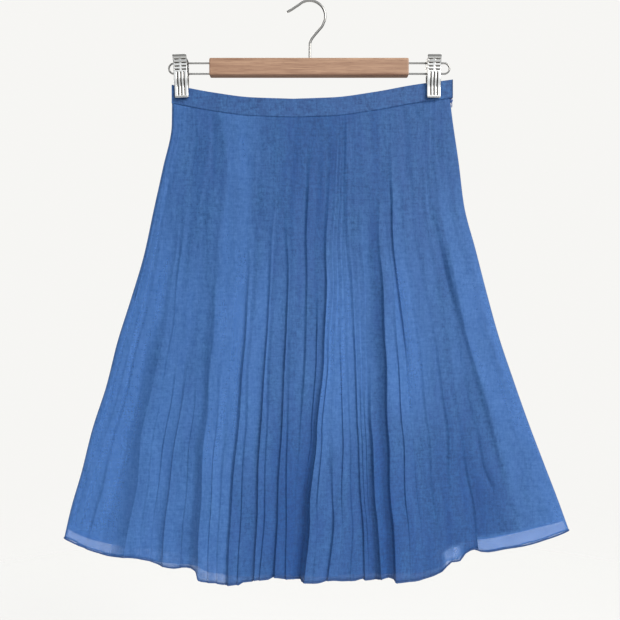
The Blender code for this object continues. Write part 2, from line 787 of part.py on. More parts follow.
def make_zip(collection, cutters, zip_blue):
    """Slider with its bridge, and the pull tab whose eye hangs in the bridge."""
    top = seam_height(BAND_RIGHT) - 2 * GAP
    face = SLIDER_X + SLIDER_THICKNESS
    hinge = Vector((face + BRIDGE_WINDOW / 2, 0, top - BRIDGE_BELOW_TOP))
    slider = box_object(
        "zip_slider",
        (SLIDER_X, -SLIDER_WIDTH / 2, top - SLIDER_HEIGHT),
        (face, SLIDER_WIDTH / 2, top),
    )
    put(slider, collection, zip_blue)
    reach = BRIDGE_WINDOW / 2 + BRIDGE_WALL
    bridge = box_object(
        "slider_bridge",
        (face - SLIDER_THICKNESS / 2, -BRIDGE_WIDTH / 2, hinge.z - reach),
        (face + BRIDGE_WINDOW + BRIDGE_WALL, BRIDGE_WIDTH / 2, hinge.z + reach),
    )
    window = box_object(
        "slider_window",
        (face, -BRIDGE_WIDTH, hinge.z - BRIDGE_WINDOW / 2),
        (face + BRIDGE_WINDOW, BRIDGE_WIDTH, hinge.z + BRIDGE_WINDOW / 2),
    )
    boolean(slider, make_cutter(bridge, cutters), "UNION")
    boolean(slider, make_cutter(window, cutters), "DIFFERENCE")

    half = PULL_THICKNESS / 2
    pull = box_object("zip_pull", (-half, -PULL_WIDTH / 2, -PULL_LENGTH), (half, PULL_WIDTH / 2, half))
    eye = box_object(
        "pull_eye",
        (-PULL_THICKNESS, -PULL_EYE_WIDTH / 2, -half - PULL_EYE_LENGTH),
        (PULL_THICKNESS, PULL_EYE_WIDTH / 2, -half),
    )
    put(pull, collection, zip_blue)
    make_cutter(eye, cutters)
    for obj in (pull, eye):
        obj.location = hinge
    boolean(pull, eye, "DIFFERENCE")


def main():
    for obj in list(bpy.data.objects):
        bpy.data.objects.remove(obj)
    collection = bpy.data.collections.new(COLLECTION)
    cutters = bpy.data.collections.new(COLLECTION + "_cutters")
    for made in (collection, cutters):
        bpy.context.scene.collection.children.link(made)

    blue = material("sheer_blue_cloth", (70, 108, 164), 0.85)
    band_blue = material("waistband_blue", (72, 106, 158), 0.85)
    lining_blue = material("lining_blue", (60, 98, 160), 0.80)
    wood = material("pale_red_wood", (185, 147, 122), 0.50)
    steel = material("brushed_steel", (190, 190, 188), 0.30, metallic=1.0)
    rubber = material("grey_rubber", (70, 70, 72), 0.70)
    zip_blue = material("enamelled_zip", (44, 84, 150), 0.40)

    make_skirt(collection, blue, band_blue, lining_blue)
    make_bar(collection, cutters, wood)
    make_hook(collection, steel)
    make_rails(collection, steel)
    make_clips(collection, cutters, steel, rubber)
    make_zip(collection, cutters, zip_blue)


main()
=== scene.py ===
"""Looks of the pleated skirt on its clip hanger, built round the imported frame. Metres, +Z up.

The origin is the inner top of the hook, and the skirt's front faces -Y.
"""

import math
from collections import namedtuple

import bmesh
import bpy
import numpy as np
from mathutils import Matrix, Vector, noise


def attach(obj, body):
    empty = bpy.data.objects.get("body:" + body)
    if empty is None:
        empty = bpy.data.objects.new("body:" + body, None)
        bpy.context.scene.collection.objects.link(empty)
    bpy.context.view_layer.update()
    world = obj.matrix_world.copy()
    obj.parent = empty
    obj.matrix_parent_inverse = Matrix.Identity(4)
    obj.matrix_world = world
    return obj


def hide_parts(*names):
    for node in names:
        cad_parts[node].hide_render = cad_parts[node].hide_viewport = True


def rows(kind, *values):
    """Table of named rows."""
    return tuple(kind(*row) for row in values)


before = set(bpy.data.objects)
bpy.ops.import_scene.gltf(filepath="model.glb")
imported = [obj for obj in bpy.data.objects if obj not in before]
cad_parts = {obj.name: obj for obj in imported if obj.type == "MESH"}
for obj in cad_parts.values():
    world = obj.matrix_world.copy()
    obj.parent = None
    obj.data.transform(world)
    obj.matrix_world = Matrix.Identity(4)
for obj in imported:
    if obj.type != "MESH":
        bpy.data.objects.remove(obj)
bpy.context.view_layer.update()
HELD = "skirt_and_hanger"
TAB = "pull_tab"
GAP = 0.0003

# Camera: level, in front of the middle of the skirt
PHOTO_SIDE = 620
FOCAL_PIXELS = 667
SENSOR_WIDTH = 36.0
CAMERA_PLACE = (0.0006, -0.854, -0.3946)

# Stage: a round floor that fades into the pale background
FLOOR_HEIGHT = -1.55
FLOOR_RADIUS = 6.0
FLOOR_FADES_FROM = 0.7
FLOOR_FADES_TO = 3.6
FLOOR_SIDES = 96

# Light: a soft key from the right and front, and a paler room on that side
KEY_AZIMUTH = 44  # degrees to the right of the camera
KEY_HEIGHT = 30
KEY_SPREAD = 36
KEY_STRENGTH = 2.5
REAR_AZIMUTH = 205  # a weaker one for the back, which the front never sees
REAR_HEIGHT = 34
REAR_SPREAD = 50
REAR_STRENGTH = 1.7
ROOM_DARK = 0.12
ROOM_LIGHT = 0.46
GLOW_FROM = -0.6  # cosine at which the paler side starts
FRONT_HEIGHT = 12  # a wide pale screen behind the camera, for the metal to mirror
FRONT_FROM = 0.80
FRONT_TO = 0.985
FRONT_GLOW = 0.75
BACKGROUND = (0.925, 0.920, 0.900, 1)

# Cloth
CLOTH_THICKNESS = 0.00032
LINING_THICKNESS = 0.00045
BAND_THICKNESS = 0.0024
BAND_HEIGHT = 0.0238
BAND_LEFT = -0.1760
BAND_RIGHT = 0.1830
BAND_LOW_FOLD = 0.35  # depth of its lower edge, as a share of a round one's
BAND_COLUMNS = 150
BAND_POINTS = 9  # of its round top edge and of each face
BAND_FOOT_POINTS = 5
BAND_ROW_ENDS = (0.07, 0.93)  # shares of its height between which the faces' points lie
BAND_WAVE = 0.00025  # how far it sways in and out, and over which sizes
BAND_WAVE_SIZE = (0.030, 0.020)
BAND_END_OUT = 0.0027
BAND_MIDDLE_OUT = 0.0049
SAG_CENTRE = -0.0210
SEAM_LOWEST = -0.1492

Sag = namedtuple("Sag", "away rise")
WAIST_SAG = rows(
    Sag,
    (0.000, 0.0000), (0.052, 0.0019), (0.105, 0.0091), (0.155, 0.0185), (0.204, 0.0253),
)

# Body of the skirt from the waist seam (down = 0) to the hem (down = 1). front and back are the
# depths of the pleats' inner folds from the middle plane.
Section = namedtuple("Section", "down left right front back")
SECTIONS = rows(
    Section,
    (0.00, -0.1760, 0.1797, 0.0049, 0.0049), (0.05, -0.1764, 0.1830, 0.0056, 0.0054),
    (0.15, -0.1878, 0.1910, 0.0070, 0.0060), (0.25, -0.2000, 0.1980, 0.0083, 0.0064),
    (0.35, -0.2120, 0.2125, 0.0095, 0.0067), (0.45, -0.2285, 0.2267, 0.0106, 0.0069),
    (0.55, -0.2460, 0.2420, 0.0115, 0.0071), (0.65, -0.2600, 0.2605, 0.0122, 0.0073),
    (0.75, -0.2780, 0.2800, 0.0128, 0.0075), (0.85, -0.2920, 0.3010, 0.0132, 0.0076),
    (0.93, -0.3050, 0.3180, 0.0134, 0.0077), (1.00, -0.3140, 0.3320, 0.0135, 0.0078),
)
SEAM_OUT = 0.00022  # the two panels almost touch at the side seam
ROLL_OUT = 0.00215  # how far the cloth rolls out beside that seam
ROLL_REACH = 0.0010
FULL_FROM = 0.06  # at the waist the cloth bulges from this share of the width
FULL_OVER = 0.32
HEM_BULGE = 2.4  # power of the bulge's curve at the hem
WAIST_FORM_ENDS = 0.35  # share of the length over which the first turns into the second
EDGE_INSETS = (0.0004, 0.0009, 0.0018, 0.0035, 0.0060)

# Hem: how far below the origin it hangs, from left (0) to right (1)
Hem = namedtuple("Hem", "across drop")
FRONT_HEM = rows(
    Hem,
    (0.000, 0.6862), (0.027, 0.6938), (0.064, 0.7022), (0.094, 0.7058), (0.128, 0.7064),
    (0.168, 0.7115), (0.196, 0.7182), (0.224, 0.7212), (0.240, 0.7192), (0.264, 0.7222),
    (0.271, 0.7335), (0.302, 0.7372), (0.322, 0.7398), (0.352, 0.7397), (0.357, 0.7366),
    (0.374, 0.7364), (0.378, 0.7340), (0.405, 0.7338), (0.417, 0.7308), (0.438, 0.7331),
    (0.501, 0.7356), (0.526, 0.7326), (0.555, 0.7344), (0.578, 0.7343), (0.588, 0.7316),
    (0.593, 0.7338), (0.619, 0.7326), (0.628, 0.7300), (0.648, 0.7304), (0.654, 0.7342),
    (0.691, 0.7343), (0.721, 0.7307), (0.752, 0.7212), (0.758, 0.7130), (0.772, 0.7123),
    (0.785, 0.7098), (0.790, 0.7030), (0.811, 0.6978), (0.827, 0.7014), (0.875, 0.6972),
    (0.917, 0.6928), (0.966, 0.6838), (1.000, 0.6762),
)
BACK_HEM = rows(
    Hem,
    (0.000, 0.6862), (0.050, 0.7018), (0.100, 0.7105), (0.140, 0.7126), (0.190, 0.7205),
    (0.250, 0.7240), (0.290, 0.7340), (0.350, 0.7380), (0.500, 0.7388), (0.620, 0.7360),
    (0.700, 0.7345), (0.745, 0.7255), (0.758, 0.7195), (0.772, 0.7190), (0.785, 0.7160),
    (0.792, 0.7092), (0.811, 0.7037), (0.830, 0.7066), (0.875, 0.7015), (0.930, 0.6937),
    (1.000, 0.6764),
)

# Where the front's pleat lines run: x at seven levels between the waist seam and the hem
LEVELS = (0.0, 0.175, 0.345, 0.516, 0.686, 0.857, 1.0)
Line = namedtuple("Line", "number waist hip upper middle lower low hem")
FRONT_LINES = rows(
    Line,
    (0, -0.1760, -0.1909, -0.2114, -0.2400, -0.2664, -0.2929, -0.3140),
    (1, -0.1710, -0.1858, -0.2055, -0.2302, -0.2574, -0.2847, -0.3037),
    (3, -0.1610, -0.1769, -0.1934, -0.2150, -0.2378, -0.2631, -0.2847),
    (4, -0.1555, -0.1693, -0.1833, -0.2023, -0.2226, -0.2441, -0.2670),
    (5, -0.1500, -0.1617, -0.1718, -0.1858, -0.2074, -0.2188, -0.2352),
    (6, -0.1440, -0.1528, -0.1661, -0.1757, -0.1921, -0.2048, -0.2150),
    (8, -0.1310, -0.1370, -0.1427, -0.1497, -0.1661, -0.1795, -0.1871),
    (9, -0.1240, -0.1275, -0.1313, -0.1389, -0.1484, -0.1566, -0.1630),
    (10, -0.1168, -0.1123, -0.1174, -0.1237, -0.1319, -0.1376, -0.1414),
    (13, -0.0731, -0.0751, -0.0776, -0.0846, -0.0928, -0.1010, -0.1048),
    (14, -0.0610, -0.0638, -0.0675, -0.0758, -0.0808, -0.0865, -0.0915),
    (15, -0.0480, -0.0436, -0.0505, -0.0568, -0.0638, -0.0675, -0.0720),
    (16, -0.0360, -0.0360, -0.0423, -0.0492, -0.0537, -0.0568, -0.0638),
    (17, -0.0240, -0.0284, -0.0278, -0.0322, -0.0366, -0.0417, -0.0461),
    (18, -0.0120, -0.0183, -0.0202, -0.0246, -0.0280, -0.0297, -0.0309),
    (19, -0.0005, -0.0032, -0.0044, -0.0063, -0.0120, -0.0171, -0.0209),
    (20, 0.0140, 0.0132, 0.0101, 0.0082, 0.0019, -0.0095, -0.0158),
    (21, 0.0270, 0.0232, 0.0197, 0.0160, 0.0068, -0.0022, -0.0096),
    (22, 0.0345, 0.0322, 0.0284, 0.0233, 0.0151, 0.0094, 0.0044),
    (23, 0.0385, 0.0366, 0.0340, 0.0309, 0.0284, 0.0290, 0.0214),
    (24, 0.0425, 0.0405, 0.0397, 0.0391, 0.0416, 0.0410, 0.0353),
    (25, 0.0465, 0.0448, 0.0460, 0.0479, 0.0511, 0.0536, 0.0511),
    (26, 0.0505, 0.0492, 0.0523, 0.0568, 0.0599, 0.0649, 0.0681),
    (27, 0.0700, 0.0738, 0.0748, 0.0755, 0.0755, 0.0800, 0.0863),
    (28, 0.0865, 0.0878, 0.0895, 0.0932, 0.0956, 0.1000, 0.1047),
    (29, 0.0950, 0.0978, 0.1047, 0.1104, 0.1167, 0.1218, 0.1268),
    (30, 0.1027, 0.1036, 0.1076, 0.1211, 0.1293, 0.1382, 0.1445),
    (32, 0.1185, 0.1173, 0.1242, 0.1388, 0.1490, 0.1572, 0.1654),
    (34, 0.1330, 0.1325, 0.1420, 0.1591, 0.1724, 0.1794, 0.1883),
    (36, 0.1465, 0.1452, 0.1572, 0.1756, 0.1889, 0.2028, 0.2136),
    (37, 0.1525, 0.1528, 0.1673, 0.1864, 0.2054, 0.2295, 0.2479),
    (38, 0.1580, 0.1604, 0.1769, 0.1965, 0.2250, 0.2504, 0.2720),
    (40, 0.1690, 0.1756, 0.1965, 0.2193, 0.2491, 0.2808, 0.3049),
    (42, 0.1790, 0.1928, 0.2118, 0.2366, 0.2675, 0.3024, 0.3320),
)

# Pleats. The cloth climbs over each line, from its low side on the left to its high side on the
# right, and then falls evenly to the next line with a level, which is the height of the low side
# there. Lines without a level are small steps on that even facet. Steps grow from opens to full,
# shares of the length, and die away after fade; wide ones are softer.
PLEATS = 42
Step = namedtuple("Step", "line rise opens full fade level wide", defaults=(1.3, None, 1.0))
FRONT_STEPS = (
    Step(1, 0.0004, 0.10, 0.60, wide=3.0),
    Step(2, 0.0004, 0.10, 0.60, wide=3.0),
    Step(3, 0.0012, 0.20, 0.60, wide=3.0),
    Step(4, 0.0003, 0.45, 0.70, level=0.0000, wide=2.0),
    Step(5, 0.0004, 0.45, 0.72, level=0.0062),
    Step(6, 0.0008, 0.20, 0.36, 0.50, wide=2.5),
    Step(7, 0.0012, 0.50, 0.66, 0.80, level=0.0012, wide=1.5),
    Step(8, 0.0012, 0.50, 0.70),
    Step(9, 0.0006, 0.50, 0.70),
    Step(10, 0.0017, 0.15, 1.00, level=0.0006, wide=1.4),
    Step(11, 0.0011, 0.45, 0.75),
    Step(12, 0.0009, 0.50, 0.90, wide=2.0),
    Step(13, 0.0040, 0.20, 0.56, level=0.0006, wide=1.9),
    Step(14, 0.0016, 0.38, 0.90),
    Step(15, 0.0042, 0.10, 0.66, level=0.0004),
    Step(16, 0.0016, 0.35, 0.90),
    Step(17, 0.0036, 0.08, 0.56, level=0.0000),
    Step(18, 0.0019, 0.38, 0.85),
    Step(19, 0.0024, 0.03, 0.22, 0.58, wide=2.0),
    Step(20, 0.0018, 0.35, 0.48, 0.66),
    Step(21, 0.0044, 0.05, 0.50, level=0.0010),
    Step(22, 0.0016, 0.38, 0.60, 0.76),
    Step(23, 0.0024, 0.66, 0.86, wide=1.3),
    Step(24, 0.0015, 0.42, 0.58, 0.76),
    Step(25, 0.0006, 0.40, 0.70, wide=2.0),
    Step(26, 0.0028, 0.10, 0.75, level=0.0006),
    Step(26.4, 0.0009, 0.52, 0.64, 0.90),
    Step(26.7, 0.0009, 0.55, 0.68, 0.78),
    Step(27, 0.0058, 0.48, 0.80, level=0.0048),
    Step(28, 0.0048, 0.10, 0.58, level=0.0030),
    Step(29, 0.0016, 0.33, 0.60, 0.80),
    Step(30, 0.0030, 0.06, 0.28, 0.42, level=0.0010),
    Step(32, 0.0009, 0.35, 0.60, 0.80, wide=3.0),
    Step(34, 0.0013, 0.40, 0.62, 0.76, wide=2.8),
    Step(36, 0.0015, 0.70, 0.86, wide=2.5),
    Step(37, 0.0005, 0.20, 0.45, 0.70, level=0.0004, wide=3.0),
    Step(38, 0.0004, 0.18, 0.45, 0.66, level=0.0034, wide=4.0),
    Step(40, 0.0003, 0.20, 0.60, wide=4.0),
)
FADES_OVER = 0.15
LEVEL_LEFT = 0.3  # share of its level that a line keeps after it has faded
PRESSED = 0.00012  # the pleats show as pressed lines even where they lie flat
SOFT_WIDTH = 0.0042  # of a step as it starts
CRISP_WIDTH = 0.0007  # and when it is full, and how much wider it gets with its rise
STEP_WIDENS = 0.28
STEP_ASIDE = 0.50  # a step stands right of its line by this share of its rise
STEP_ROOM = 0.6  # widest step, as a share of the room beside its line
ROOM_AT_ENDS = 0.010

Knot = namedtuple("Knot", "aside share")
STEP_KNOTS = rows(
    Knot,
    (-1.00, 0.00), (-0.45, 0.20), (0.00, 0.80), (0.25, 1.00),
)
FACET_COLUMNS = 4  # between two lines, the outer ones close to the steps
FACET_EDGE = 0.06
CLOSEST = 0.000001  # two columns of points never meet, and points nearer than this are one

# How many layers of cloth lie over each other: 0 is single, 1 the usual two or three, and more
# of them look deeper in colour. The pleats overlap most near the waist and in the large folds.
# Values above 1 also paint shade: the large folds and the zones that get less light are darker.
Layers = namedtuple("Layers", "line waist middle hem")
LAYERS_AND_PAINTED_SHADE = rows(
    Layers,
    (0.0, 0.6, 0.3, 0.3), (4.2, 0.8, 0.3, 0.2), (5.0, 1.1, 0.8, 0.8), (6.4, 1.1, 0.5, 0.6),
    (7.8, 1.1, 0.6, 0.6), (9.9, 1.1, 0.8, 0.8), (10.4, 0.7, 0.3, 0.6), (12.8, 0.5, 0.2, 0.7),
    (13.2, 0.8, 0.6, 1.3), (14.6, 1.15, 0.5, 1.3), (16.0, 1.3, 0.9, 1.5), (18.2, 1.5, 1.0, 2.0),
    (20.9, 1.6, 1.1, 2.0), (21.4, 1.5, 0.3, 1.2), (24.6, 1.5, 0.3, 1.4), (26.2, 1.4, 0.5, 1.6),
    (27.0, 1.1, 0.6, 1.8), (27.8, 1.4, 1.2, 2.0), (28.5, 1.3, 0.6, 1.7), (29.7, 1.2, 0.5, 1.6),
    (30.2, 1.0, 0.1, 1.6), (31.2, 1.0, 0.3, 1.6), (32.4, 1.1, 0.6, 1.7), (35.8, 1.1, 0.9, 1.75),
    (37.9, 1.1, 0.9, 1.1), (38.4, 1.0, 0.2, 0.7), (39.6, 1.0, 0.4, 0.6), (42.0, 1.0, 0.2, 0.2),
)
STREAKS = 0.42  # how much the layers vary in streaks along the pleats
STREAK_LINES = 0.62  # width of a streak, in pleats
STREAK_LENGTH = 0.16  # and its length, as a share of the skirt's
CRINKLE_OUT = 0.00030  # the same streaks as relief
STREAK_NOISE = 2  # its own layer of the noise
Wave = namedtuple("Wave", "out size_x size_z noise")
WAVES = rows(
    Wave,
    (0.0007, 0.045, 0.120, 0), (0.0003, 0.012, 0.030, 4),
)
WAVES_FROM = 0.08  # share of the length over which they grow
LAYERS_AND_PAINTED_SHADE_ATTRIBUTE = "layers"
MIDDLE_LAYERS = (0.12, 0.46)  # where the middle's layers take over from the waist's
HEM_LAYERS = (0.55, 0.88)
SEAM_ALLOWANCE = 0.0014  # the cloth is double beside the side seams
SEAM_ENDS_OVER = 0.0008
SEAM_LAYERS = 0.7
Sheer = namedtuple("Sheer", "first last layers")  # pleats where it is thinner below the lining
FRONT_SHEER = rows(
    Sheer,
    (0.0, 4.6, 0.0), (32.4, 34.6, 0.3), (36.0, 42.0, 0.0),
)
BACK_SHEER = rows(
    Sheer,
    (0.0, 4.6, 0.0), (31.6, 42.0, 0.0),
)
SHEER_FROM = 0.964
DEEPER_AND_PAINTED_SHADE = (0.18, 0.62, 0.80, 1)  # what a second set of layers leaves of the colour, which also paints shade

# The back's pleat lines, as shares of its width at three levels
Fan = namedtuple("Fan", "line waist middle hem")
BACK_FAN = rows(
    Fan,
    (0, 0.000, 0.000, 0.000), (9, 0.170, 0.205, 0.222), (18, 0.410, 0.425, 0.431),
    (26, 0.630, 0.612, 0.602), (34, 0.860, 0.829, 0.806), (42, 1.000, 1.000, 1.000),
)
BACK_WIDE_RISE = 0.0041
BACK_NARROW_RISE = 0.0015
BACK_UNEVEN = 0.35
BACK_UNEVEN_TURN = 2.4  # radians of its sine from one pleat to the next
BACK_LATER = 0.12  # they also open later by a sine, up to twice this share of the length
BACK_LATER_TURN = 1.7
BACK_WIDE_OPENS = (0.05, 0.55)  # where the wide ones and the narrow ones open and are full
BACK_NARROW_OPENS = (0.25, 0.75)
BACK_LEVEL = 0.0005  # of the wide ones

# How strong the back's pleats are across its width
Relief = namedtuple("Relief", "line share")
RELIEF = rows(
    Relief,
    (0, 0.30), (8, 0.45), (12, 0.95), (20, 1.00), (29, 1.00), (34, 0.55), (42, 0.30),
)

# Large folds: the cloth sinks towards the line from the left, climbs over the ramp to a ridge at
# the line and falls away on its right. Widths are in pleats.
Fold = namedtuple("Fold", "line start sink sink_width ramp rise rise_width")
FRONT_FOLDS = rows(
    Fold,
    (8, 0.40, 0.0014, 0.8, 0.25, 0.0010, 1.5), (10, 0.20, 0.0010, 2.2, 0.45, 0.0052, 2.7),
    (21, 0.50, 0.0052, 2.4, 0.22, 0.0040, 4.2), (27, 0.70, 0.0024, 0.8, 0.12, 0.0012, 2.0),
    (28, 0.30, 0.0036, 1.0, 0.22, 0.0030, 4.0), (36.5, 0.70, 0.0024, 1.0, 0.50, 0.0000, 1.0),
)
BACK_FOLDS = rows(
    Fold,
    (6.3, 0.35, 0.0014, 1.4, 0.30, 0.0020, 2.0), (15.3, 0.20, 0.0022, 1.2, 0.30, 0.0032, 2.6),
    (23.3, 0.30, 0.0018, 1.0, 0.30, 0.0022, 2.2), (32.3, 0.22, 0.0020, 1.4, 0.30, 0.0030, 2.4),
    (38.3, 0.45, 0.0012, 1.0, 0.30, 0.0012, 1.6),
)

# Single creases from a first to a last point; a negative depth is a soft ridge
Crease = namedtuple("Crease", "x z to_x to_z depth width")
FRONT_CREASES = rows(
    Crease,
    (-0.1480, -0.181, -0.1500, -0.245, 0.0009, 0.0080),
    (-0.1800, -0.226, -0.1830, -0.248, 0.0010, 0.0030),
    (-0.1230, -0.158, -0.1230, -0.225, 0.0008, 0.0035),
    (0.0475, -0.168, 0.0475, -0.290, -0.0007, 0.0030),
    (0.1210, -0.155, 0.1210, -0.222, 0.0009, 0.0050),
    (0.1350, -0.142, 0.1370, -0.152, 0.0010, 0.0040),
    (0.2190, -0.594, 0.2317, -0.621, 0.0014, 0.0026),
    (0.2490, -0.640, 0.2690, -0.663, 0.0013, 0.0024),
    (0.2130, -0.555, 0.2180, -0.590, 0.0010, 0.0026),
    (0.1290, -0.420, 0.1330, -0.500, -0.0008, 0.0040),
    (0.1225, -0.375, 0.1270, -0.465, -0.0013, 0.0034),
    (0.1520, -0.440, 0.1560, -0.480, -0.0008, 0.0030),
    (0.0300, -0.640, 0.0220, -0.720, 0.0012, 0.0030),
    (0.1755, -0.355, 0.2335, -0.573, 0.0022, 0.0044),
)
BACK_CREASES = rows(
    Crease,
    (-0.1500, -0.190, -0.1560, -0.262, 0.0009, 0.0070),
    (0.1480, -0.178, 0.1520, -0.240, 0.0009, 0.0060),
    (-0.0400, -0.172, -0.0400, -0.265, -0.0006, 0.0035),
    (0.2250, -0.600, 0.2400, -0.632, 0.0013, 0.0026),
    (-0.2300, -0.580, -0.2420, -0.620, 0.0012, 0.0028),
)
PANEL_ROWS = 104
CAUGHT = 0.0009  # how far a panel's top reaches up into the waistband
TUCKED = 0.0009  # and how far in it lies there
TUCK_ENDS = 0.006
TUCK_SIDE = 0.004
RELIEF_SIDE = 0.012  # the relief grows over this width from the side seams
FIRST_ROWS = (0.0, 0.002, 0.004, 0.007)  # close together where the cloth is tucked in at the seam
EVEN_ROWS_FROM = 0.012

# Lining
LINING_INSET = 0.0016
LINING_SHORTER = 0.0260
LINING_HEM = rows(
    Hem,
    (0.00, 0.6740), (0.04, 0.6860), (0.10, 0.6950), (0.25, 0.7070), (0.30, 0.7185), (0.50, 0.7200),
    (0.68, 0.7130), (0.77, 0.6932), (0.86, 0.6850), (0.94, 0.6735), (1.00, 0.6640),
)
LINING_END_OUT = 0.0013
LINING_MIDDLE_OUT = 0.0035
LINING_WAVE = 0.0005  # how far in it sways, more and more below the waist
LINING_WAVE_SIZE = (0.050, 0.200)
LINING_WAVE_FROM = 0.2
LINING_COLUMNS = 120
LINING_ROWS = 70

# Looks of the cloths, the sheer one also where it is single: colours of light and dark threads
Cloth = namedtuple(
    "Cloth",
    "name crinkle alpha light dark tint layered_alpha single_light single_dark",
    defaults=(None, None, None),
)
CLOTHS = rows(
    Cloth,
    ("sheer_blue_voile", 0.55, 0.40, (0.046, 0.170, 0.440, 1), (0.004, 0.076, 0.250, 1),
     (0.030, 0.108, 0.375, 1), 0.85, (0.120, 0.310, 0.760, 1), (0.062, 0.220, 0.610, 1)),
    ("waistband_blue", 0.45, 1.0, (0.040, 0.158, 0.410, 1), (0.002, 0.046, 0.180, 1),
     (0.022, 0.088, 0.300, 1)),
    ("lining_blue", 0.15, 1.0, (0.038, 0.175, 0.500, 1), (0.022, 0.125, 0.400, 1),
     (0.030, 0.140, 0.460, 1)),
    ("hem_blue", 0.4, 1.0, (0.022, 0.090, 0.280, 1), (0.008, 0.045, 0.160, 1),
     (0.014, 0.060, 0.210, 1)),
)
CLOTH_SHADER = {
    "Roughness": 0.68,
    "Specular_IOR_Level": 0.62,
    "Sheen_Weight": 0.05,
    "Sheen_Roughness": 0.5,
    "Sheen_Tint": (0.65, 0.78, 1.0, 1.0),
}
Grain = namedtuple("Grain", "cells detail roughness weight")  # cells a metre along x, y and z
CLOTH_GRAINS = rows(
    Grain,
    ((300, 300, 230), 3.0, 0.65, 2.0), ((480, 480, 70), 2.0, 0.6, 1.1), ((70, 70, 440), 2.0, 0.6, 1.1),
    ((1100, 1100, 900), 2.0, 0.6, 0.8), ((38, 38, 18), 3.0, 0.5, 0.4),
)

HUE = Grain((60, 60, 24), 2.0, 0.5, 0.9)  # where the tint comes through
HUE_BASE = 0.30
CRIMP = Grain((170, 170, 220), 3.0, 0.55, 0.0012)  # its weight is the height of the relief
THREAD_PITCH = 0.00045
THREAD_HEIGHT = 0.00010
THREAD_STRENGTH = 0.35

# Rolled hem
ROLL_HALF_HEIGHT = 0.00105
ROLL_HALF_DEPTH = 0.00070
ROLL_SIDES = 8
ROLL_UP = 0.4  # the roll's middle above the edge, in half heights

# Hanger. Outs and ups of the clips' plates are from the middle of the pin.
BAR_LEFT = -0.1278
BAR_RIGHT = 0.1264
BAR_TOP = -0.0734
BAR_LOW = -0.0959
BAR_PAINTED_SHADE = 0.60  # painted shade: the wood is darkened along the bar's lower and upper edge
BAR_LOW_PAINTED_SHADE_REACH = 0.0030
BAR_TOP_PAINTED_SHADE_REACH = 0.0008
WIRE_REACH = 0.0115
RAIL_LEFT_END = -0.1800
RAIL_RIGHT_END = 0.1791
RAIL_OFFSET = 0.0068
RAIL_RADIUS = 0.00115
RAIL_SIDES = 14
RAIL_TURN_STEPS = 20
RAIL_STEPS = 8  # points of each straight, which ends a little before the turn
RAIL_STRAIGHT = 0.98
PIN_HEIGHT = -0.0855
Spot = namedtuple("Spot", "x z")
HOOK_TIP = rows(
    Spot,
    (-0.0289, -0.0131), (-0.0240, -0.0106), (-0.0192, -0.0074),
)
HOOK_NECK = rows(
    Spot,
    (0.0161, -0.0313), (0.0113, -0.0370), (0.0063, -0.0429), (0.0029, -0.0475), (0.0009, -0.0520),
    (0.0003, -0.0570),
)
HOOK_RADIUS = 0.0200
HOOK_CENTRE = -0.0184
HOOK_ARC = (132, -24)
HOOK_ARC_STEPS = 18
HOOK_WIRE_RADIUS = 0.0016
HOOK_SIDES = 20
HOOK_TIP_ROUND = (0.55, 0.85, 0.97)
STEM_X = 0.0003
CURVE_STEPS = 5

Clip = namedtuple("Clip", "name x lean")
CLIPS = (Clip("clip_left", -0.1640, 2.0), Clip("clip_right", 0.1580, 0.0))
Bend = namedtuple("Bend", "out up")
JAW_PROFILE = rows(
    Bend,
    (0.0063, -0.0388), (0.0053, -0.0368), (0.0053, -0.0265), (0.0074, -0.0140), (0.0079, 0.0010),
    (0.0094, 0.0070), (0.0122, 0.0134),
)
FRONT_JAW_WIDTH = 0.0176
BACK_JAW_WIDTH = 0.0156
JAW_THICKNESS = 0.0010
JAW_EDGE = 0.0009  # how round its sides and corners are
JAW_COLUMNS = 56
JAW_ROWS = 150
JAW_EVEN = 0.75  # how even its columns are; the rest stand closer at the sides
RIDGE_PROUD = 0.0006
RIDGE_COUNT = 4
RIDGE_PITCH = 0.0041
RIDGE_LOW = -0.0364
RIDGE_HIGH = -0.0064
GROOVE_WIDTH = 0.0022  # between the upright ridges, and of the level thumb grooves
GROOVE_COUNT = 4
GROOVE_LENGTH = 0.0086
GROOVE_FIRST = -0.0038
# painted reflection: above LIP_FROM the jaw's upturned lip is darkened by LIP_SHADE, standing for the dark
# room it mirrors
LIP_FROM = 0.0108
LIP_SHADE = 0.55
HOLLOW_EASE = 0.0010  # over which the grooves' ends and the lip's painted shade fade
GROOVE_SLOPE = 0.6  # share of a groove's half width that its side takes
JAW_PAINTED_SHADE_ATTRIBUTE = "relief"
FRONT_EAR_HEIGHT = 0.0200
BACK_EAR_HEIGHT = 0.0080
EAR_REACH = 0.0032
EAR_THICKNESS = 0.0010
EAR_ROUND = 0.0028
EAR_SMALL_ROUND = 0.0003
EAR_TUCK = 0.0002  # it ends inside the jaw's plate
FINE_EDGE = 0.00012  # softened edges of ears and bridge
RAIL_HOLE_RADIUS = 0.0019
PIN_RADIUS = 0.0010
PIN_HEAD_RADIUS = 0.0017
PIN_HEAD_WIDTH = 0.0005
PIN_HEAD_FORM = ((0.0, 0.3), (0.0001, 0.75), (0.00025, 0.95))  # from its tip: in, share of radius
PIN_GAP = 0.0003
PIN_SIDES = 20
NUDGE = 1e-6  # keeps the pin's rings apart
SPRING_RADIUS = 0.0029  # to the middle of its wire
SPRING_WIRE_RADIUS = 0.00045
SPRING_WIDTH = 0.0102
SPRING_TURNS = 8
SPRING_TURN_STEPS = 20
SPRING_SIDES = 8
SPRING_LEG = 0.0150
SPRING_LEG_TOP = -0.0015
SPRING_LEG_IN = 0.0011
PAD_THICKNESS = 0.0015
PAD_WIDTH = 0.0158
PAD_LOW = -0.0384
PAD_HIGH = -0.0270
PAD_ROUND = 0.0012
PAD_EDGE = 0.00035

